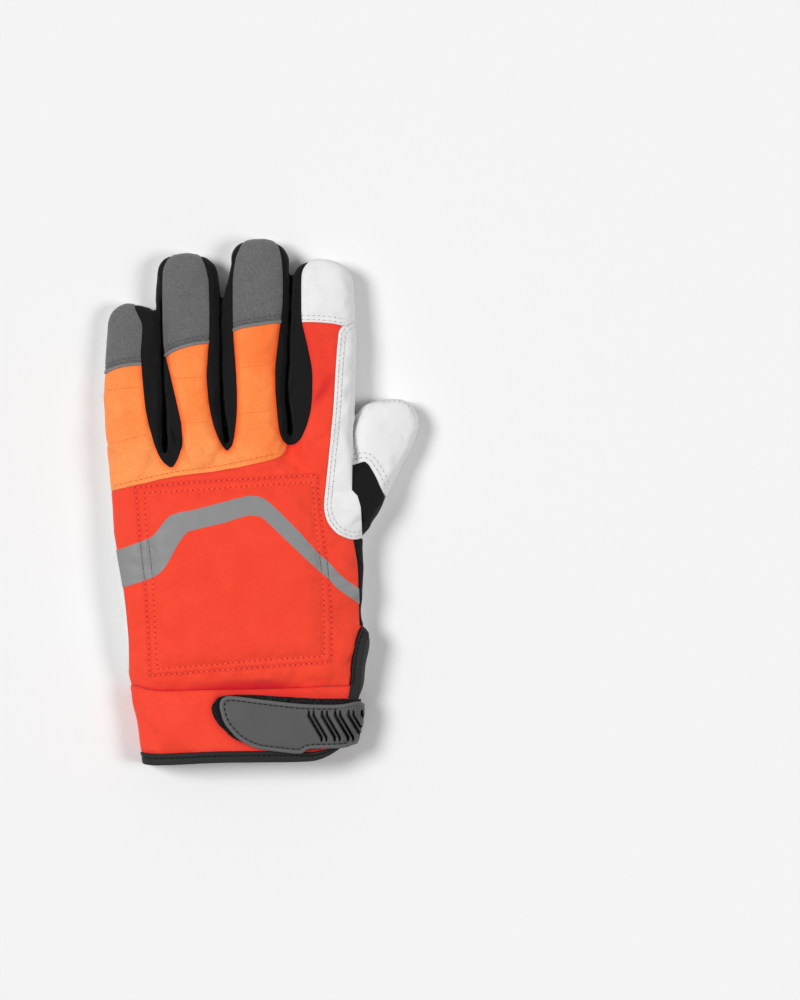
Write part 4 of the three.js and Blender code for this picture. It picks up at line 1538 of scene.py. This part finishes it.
def sew_rows(
    name, rows, pieces, strand, pit_shade, on=None,
    length=THREAD_LENGTH, radius=THREAD_RADIUS, hole=HOLE_RADIUS, rise=THREAD_RISE,
):
    """Stitches along rows seen from above, laid on the pieces, and dark discs painted as the shade of the
    needle holes between them.
    """
    graph = bpy.context.evaluated_depsgraph_get()
    trees = [BVHTree.FromObject(piece, graph) for piece in pieces]
    shape, faces = grain_of_rice()
    threads, holes = [], []
    for line in rows:
        spots = spaced(line, STITCH_PITCH)
        for start, end in zip(spots[:-1], spots[1:]):
            hit = drop(trees, (start + end) / 2)
            first = drop(trees, start)
            last = drop(trees, end)
            if hit is None or first is None or last is None or on not in (None, hit[2]):
                continue
            along = last[0] - first[0]
            if along.length > 2 * STITCH_PITCH * MM:
                continue
            out = (hit[1] + first[1] + last[1]).normalized()
            size = along.length * length / 2
            across = out.cross(along).normalized()
            along = along.normalized()
            centre = (first[0] + last[0]) / 2 + out * rise * MM
            basis = np.array([along, across, out])
            scale = np.array([size, radius * MM, radius * MM])
            threads.append((shape * scale) @ basis + np.array(centre))
            pit_scale = np.array([hole, hole, HOLE_HEIGHT]) * MM
            holes.append((shape * pit_scale) @ basis + np.array(first[0] + first[1] * HOLE_RISE * MM))
    made = []
    for kind, copies, material in (("stitches", threads, strand), ("needle_hole_shades", holes, pit_shade)):
        mesh = bpy.data.meshes.new(f"{name}_{kind}")
        step = len(shape)
        all_faces = [tuple(v + i * step for v in face) for i in range(len(copies)) for face in faces]
        mesh.from_pydata(np.vstack(copies).tolist(), [], all_faces)
        mesh.materials.append(material)
        obj = bpy.data.objects.new(f"{name}_{kind}", mesh)
        bpy.context.scene.collection.objects.link(obj)
        only(obj)
        bpy.ops.object.shade_smooth()
        made.append(obj)
    return made


def offset_line(line, distance):
    """A line moved to its left-hand side."""
    tangent = np.gradient(line, axis=0)
    tangent /= np.linalg.norm(tangent, axis=1)[:, None]
    return line + np.stack([-tangent[:, 1], tangent[:, 0]], axis=1) * distance


# Building


def finish(obj, material, inner=None):
    while len(obj.data.materials) < 2:
        obj.data.materials.append(material)
    obj.data.materials[0] = material
    obj.data.materials[1] = inner or material
    return obj


PICTURE_WIDTH = 493.4
PICTURE_MIDDLE = (0.0689, 0.0012)
LENS = 280
SENSOR = 36
FLOOR_LIGHT = 3.27
SKY_SHARE = 0.18
WINDOW_WIDTH = math.radians(22)
# Soft windows all round: where each stands, how high, its share of the light on the floor
WINDOWS = (
    ("window_left", 163, 51, 0.52),
    ("window_right", -5, 49, 0.28),
    ("window_front", 235, 62, 0.02),
)


def set_up_camera():
    height = PICTURE_WIDTH * MM * LENS / SENSOR
    bpy.ops.object.camera_add(location=(*PICTURE_MIDDLE, height), rotation=(0, 0, 0))
    camera = bpy.context.object
    camera.data.lens = LENS
    camera.data.clip_end = 50
    bpy.context.scene.camera = camera


def set_up_studio():
    deselect()
    bpy.ops.mesh.primitive_plane_add(size=6, location=(0, 0, 0))
    floor = bpy.context.object
    floor.name = "floor"
    paper = Finish("floor_paper", 0.9, Specular_IOR_Level=0.0)
    paper.shader.inputs["Base Color"].default_value = rgb(0.87, 0.87, 0.868)
    floor.data.materials.append(paper.material)
    world = bpy.data.worlds.new("studio")
    bpy.context.scene.world = world
    world.use_nodes = True
    sky = world.node_tree.nodes["Background"]
    sky.inputs[0].default_value = rgb(1, 1, 1)
    sky.inputs[1].default_value = FLOOR_LIGHT * SKY_SHARE / math.pi
    for name, bearing, height, share in WINDOWS:
        turn, tilt = math.radians(bearing), math.radians(height)
        place = Vector((math.cos(turn) * math.cos(tilt), math.sin(turn) * math.cos(tilt), math.sin(tilt)))
        bpy.ops.object.light_add(type="SUN", location=place)
        lamp = bpy.context.object
        lamp.name = name
        lamp.data.angle = WINDOW_WIDTH
        lamp.data.energy = FLOOR_LIGHT * share / math.sin(tilt)
        lamp.rotation_euler = (-place).to_track_quat("-Z", "Y").to_euler()
    bpy.context.scene.view_settings.view_transform = "Standard"


set_up_camera()
set_up_studio()

hand = make_hand()
whole_skin = remember_skin(hand)
pieces = cut_pieces(hand)
stripe = open_skin(make_stripe(pieces["back_panel"]))
for piece in pieces.values():
    open_skin(piece)

red = twill(
    "shell_red", (0.93, 0.062, 0.024), (0.88, 0.046, 0.018), (0.96, 0.07, 0.03), (0.6, 0.002, 0.014), 0.22
)
orange = twill(
    "shell_orange", (0.99, 0.29, 0.062), (0.97, 0.26, 0.055), (0.99, 0.36, 0.105), (0.98, 0.115, 0.012), 0.5
)
grey_suede = suede()
white_leather = leather()
black_knit = knit()
silver_film = film()
grey_rubber = rubber()
black_tape = tape()
black_loop = hook_and_loop()
inner_lining = lining()

# Lift off the skin, roll of the edges and its width, wall, relief, material outside and inside, slot
PIECES = {
    "thumb_leather": (0.3, 0.35, 1.4, 1.5, thumb_relief, white_leather, inner_lining, "leather_white"),
    "cuff_band": (0.05, 0.2, 1.2, 1.5, cuff_relief, red, inner_lining, "shell_red"),
    "palm_leather": (0.0, 0.35, 1.6, 1.5, None, white_leather, inner_lining, "leather_white"),
    "web_little_ring": (-0.15, 0.45, 1.6, 1.2, web_relief, black_knit, black_knit, "stretch_black"),
    "web_ring_middle": (-0.15, 0.45, 1.6, 1.2, web_relief, black_knit, black_knit, "stretch_black"),
    "web_middle_index": (-0.15, 0.45, 1.6, 1.2, web_relief, black_knit, black_knit, "stretch_black"),
    "thumb_gusset": (-0.25, 0.4, 1.5, 1.2, web_relief, black_knit, black_knit, "stretch_black"),
    "side_gusset": (-0.2, 0.4, 1.5, 1.2, web_relief, black_knit, black_knit, "stretch_black"),
    "cap_little": (0.3, 0.3, 1.2, 1.5, cap_relief(LITTLE_CAP), grey_suede, inner_lining, "suede_grey"),
    "cap_ring": (0.3, 0.3, 1.2, 1.5, cap_relief(RING_CAP), grey_suede, inner_lining, "suede_grey"),
    "cap_middle": (0.3, 0.3, 1.2, 1.5, cap_relief(MIDDLE_CAP), grey_suede, inner_lining, "suede_grey"),
    "cap_index": (0.45, 0.3, 1.0, 1.5, index_cap_relief, white_leather, inner_lining, "leather_white"),
    "index_guard": (0.5, 0.3, 1.0, 1.5, guard_relief, white_leather, inner_lining, "leather_white"),
    "knuckle_panel": (0.2, 0.45, 1.6, 1.5, knuckle_relief, orange, inner_lining, "shell_orange"),
    "back_panel": (0.0, 0.45, 1.6, 1.5, back_relief, red, inner_lining, "shell_red"),
}

for name, (lift, roll, width, wall, relief, outer, inner, slot) in PIECES.items():
    piece = pieces[name]
    sew_up(piece, lift, roll, width, wall, relief)
    finish(piece, outer, inner)

sew_up(stripe, 0.12, 0.0, 1.0, 0.1, back_relief)
finish(stripe, silver_film)
pieces["reflective_stripe"] = stripe
pieces["strap_cover"] = finish(make_strap_cover(), grey_rubber)
pieces["strap_backing"] = finish(make_strap_backing(), black_loop)
pieces["edge_binding"] = finish(make_binding(), black_tape)

for name, piece in pieces.items():
    piece.name = f"{name}_look"
    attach(piece, "root")
    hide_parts(name)

# Sheets: width and length of the cut, its flat area, how it is held and what it lies on, all in millimetres
SHEETS = {
    "palm_leather": (150, 240, 25500, "stretched", ()),
    "thumb_leather": (60, 55, 2700, "stretched", ()),
    "index_guard": (22, 115, 1900, "stretched", ("back_panel",)),
    "cap_index": (36, 40, 1200, "stretched", ("palm_leather",)),
    "web_little_ring": (25, 110, 2100, "stretched", ()),
    "web_ring_middle": (30, 108, 2600, "stretched", ()),
    "web_middle_index": (30, 108, 2700, "stretched", ()),
    "thumb_gusset": (20, 40, 570, "stretched", ()),
    "side_gusset": (10.5, 45, 420, "stretched", ()),
    "cuff_band": (235, 35, 6600, "stretched", ()),
    "reflective_stripe": (145, 14, 1430, "stretched", ("back_panel",)),
    "strap_backing": (92, 27, 2150, "laid", ("cuff_band",)),
}
for name, (width, length, area, held, under) in SHEETS.items():
    cut = (width * MM, length * MM)

red_thread = thread("thread_red", (0.98, 0.15, 0.07))
red_hole = needle_hole_shade("hole_red", (0.5, 0.01, 0.015))
orange_thread = thread("thread_orange", (0.98, 0.28, 0.07))
orange_hole = needle_hole_shade("hole_orange", (0.66, 0.08, 0.012))
faint_hole = needle_hole_shade("hole_faint", (0.85, 0.17, 0.03))
film_thread = thread("thread_film", (0.2, 0.2, 0.2))
film_hole = needle_hole_shade("hole_film", (0.06, 0.06, 0.06))
white_thread = thread("thread_white", (0.78, 0.78, 0.78))
white_hole = needle_hole_shade("hole_white", (0.3, 0.3, 0.305))
grey_thread = thread("thread_grey", (0.16, 0.16, 0.16))
grey_hole = needle_hole_shade("hole_grey", (0.045, 0.045, 0.045))
black_thread = thread("thread_black", (0.006, 0.006, 0.006))
black_hole = needle_hole_shade("hole_black", (0.003, 0.003, 0.003))

back = [pieces["back_panel"], stripe]
seams = [
    sew_rows(
        "pad",
        [pad_row(PAD_OUTER), pad_row(PAD_INNER)],
        back, red_thread, red_hole, on=0, hole=0.36,
    ),
    sew_rows(
        "pad_on_stripe",
        [pad_row(PAD_OUTER), pad_row(PAD_INNER)],
        back, film_thread, film_hole, on=1,
    ),
    sew_rows(
        "knuckle",
        [offset_line(line_through(KNUCKLE_SEAM[1:-1]), KNUCKLE_ROW)],
        [pieces["knuckle_panel"]], orange_thread, orange_hole,
    ),
    sew_rows(
        "quilting",
        [np.array(row, float) for row in QUILTING],
        [pieces["knuckle_panel"]], orange_thread, faint_hole, hole=0.28,
    ),
    sew_rows(
        "guard",
        [offset_line(line_through(GUARD_EDGE), row) for row in GUARD_ROWS],
        [pieces["index_guard"]], white_thread, white_hole,
    ),
    sew_rows(
        "caps",
        [offset_line(line_through(hem[1:]), CAP_ROW) for hem in (LITTLE_CAP, RING_CAP, MIDDLE_CAP)],
        [pieces["cap_little"], pieces["cap_ring"], pieces["cap_middle"]], grey_thread, grey_hole, hole=0.27,
    ),
    sew_rows(
        "index_cap",
        [offset_line(line_through(INDEX_CAP[:6]), row) for row in INDEX_CAP_ROWS],
        [pieces["cap_index"]], white_thread, white_hole,
    ),
    sew_rows(
        "thumb",
        [offset_line(line_through(THUMB_HEM), row) for row in THUMB_ROWS],
        [pieces["thumb_leather"]], white_thread, white_hole,
    ),
    sew_rows(
        "hem",
        [hem_row(HEM_ROW)],
        [pieces["edge_binding"]], black_thread, black_hole, hole=0.42, radius=0.26,
    ),
    sew_rows(
        "strap",
        [offset_line(line_through(STRAP_COVER[4:-1]), COVER_ROW)],
        [pieces["strap_cover"]], black_thread, black_hole,
        length=0.56, radius=0.34, hole=0.24, rise=0.24,
    ),
    sew_rows(
        "thumb_tip", [line_through(THUMB_TIP_ROW)], [pieces["thumb_leather"]], white_thread, white_hole,
    ),
    sew_rows(
        "lip",
        [offset_line(line_through(LIP_EDGE[:5]), LIP_ROW)],
        [pieces["edge_binding"]], black_thread, black_hole, hole=0.42, radius=0.26,
    ),
]
for group in seams:
    for obj in group:
        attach(obj, "root")
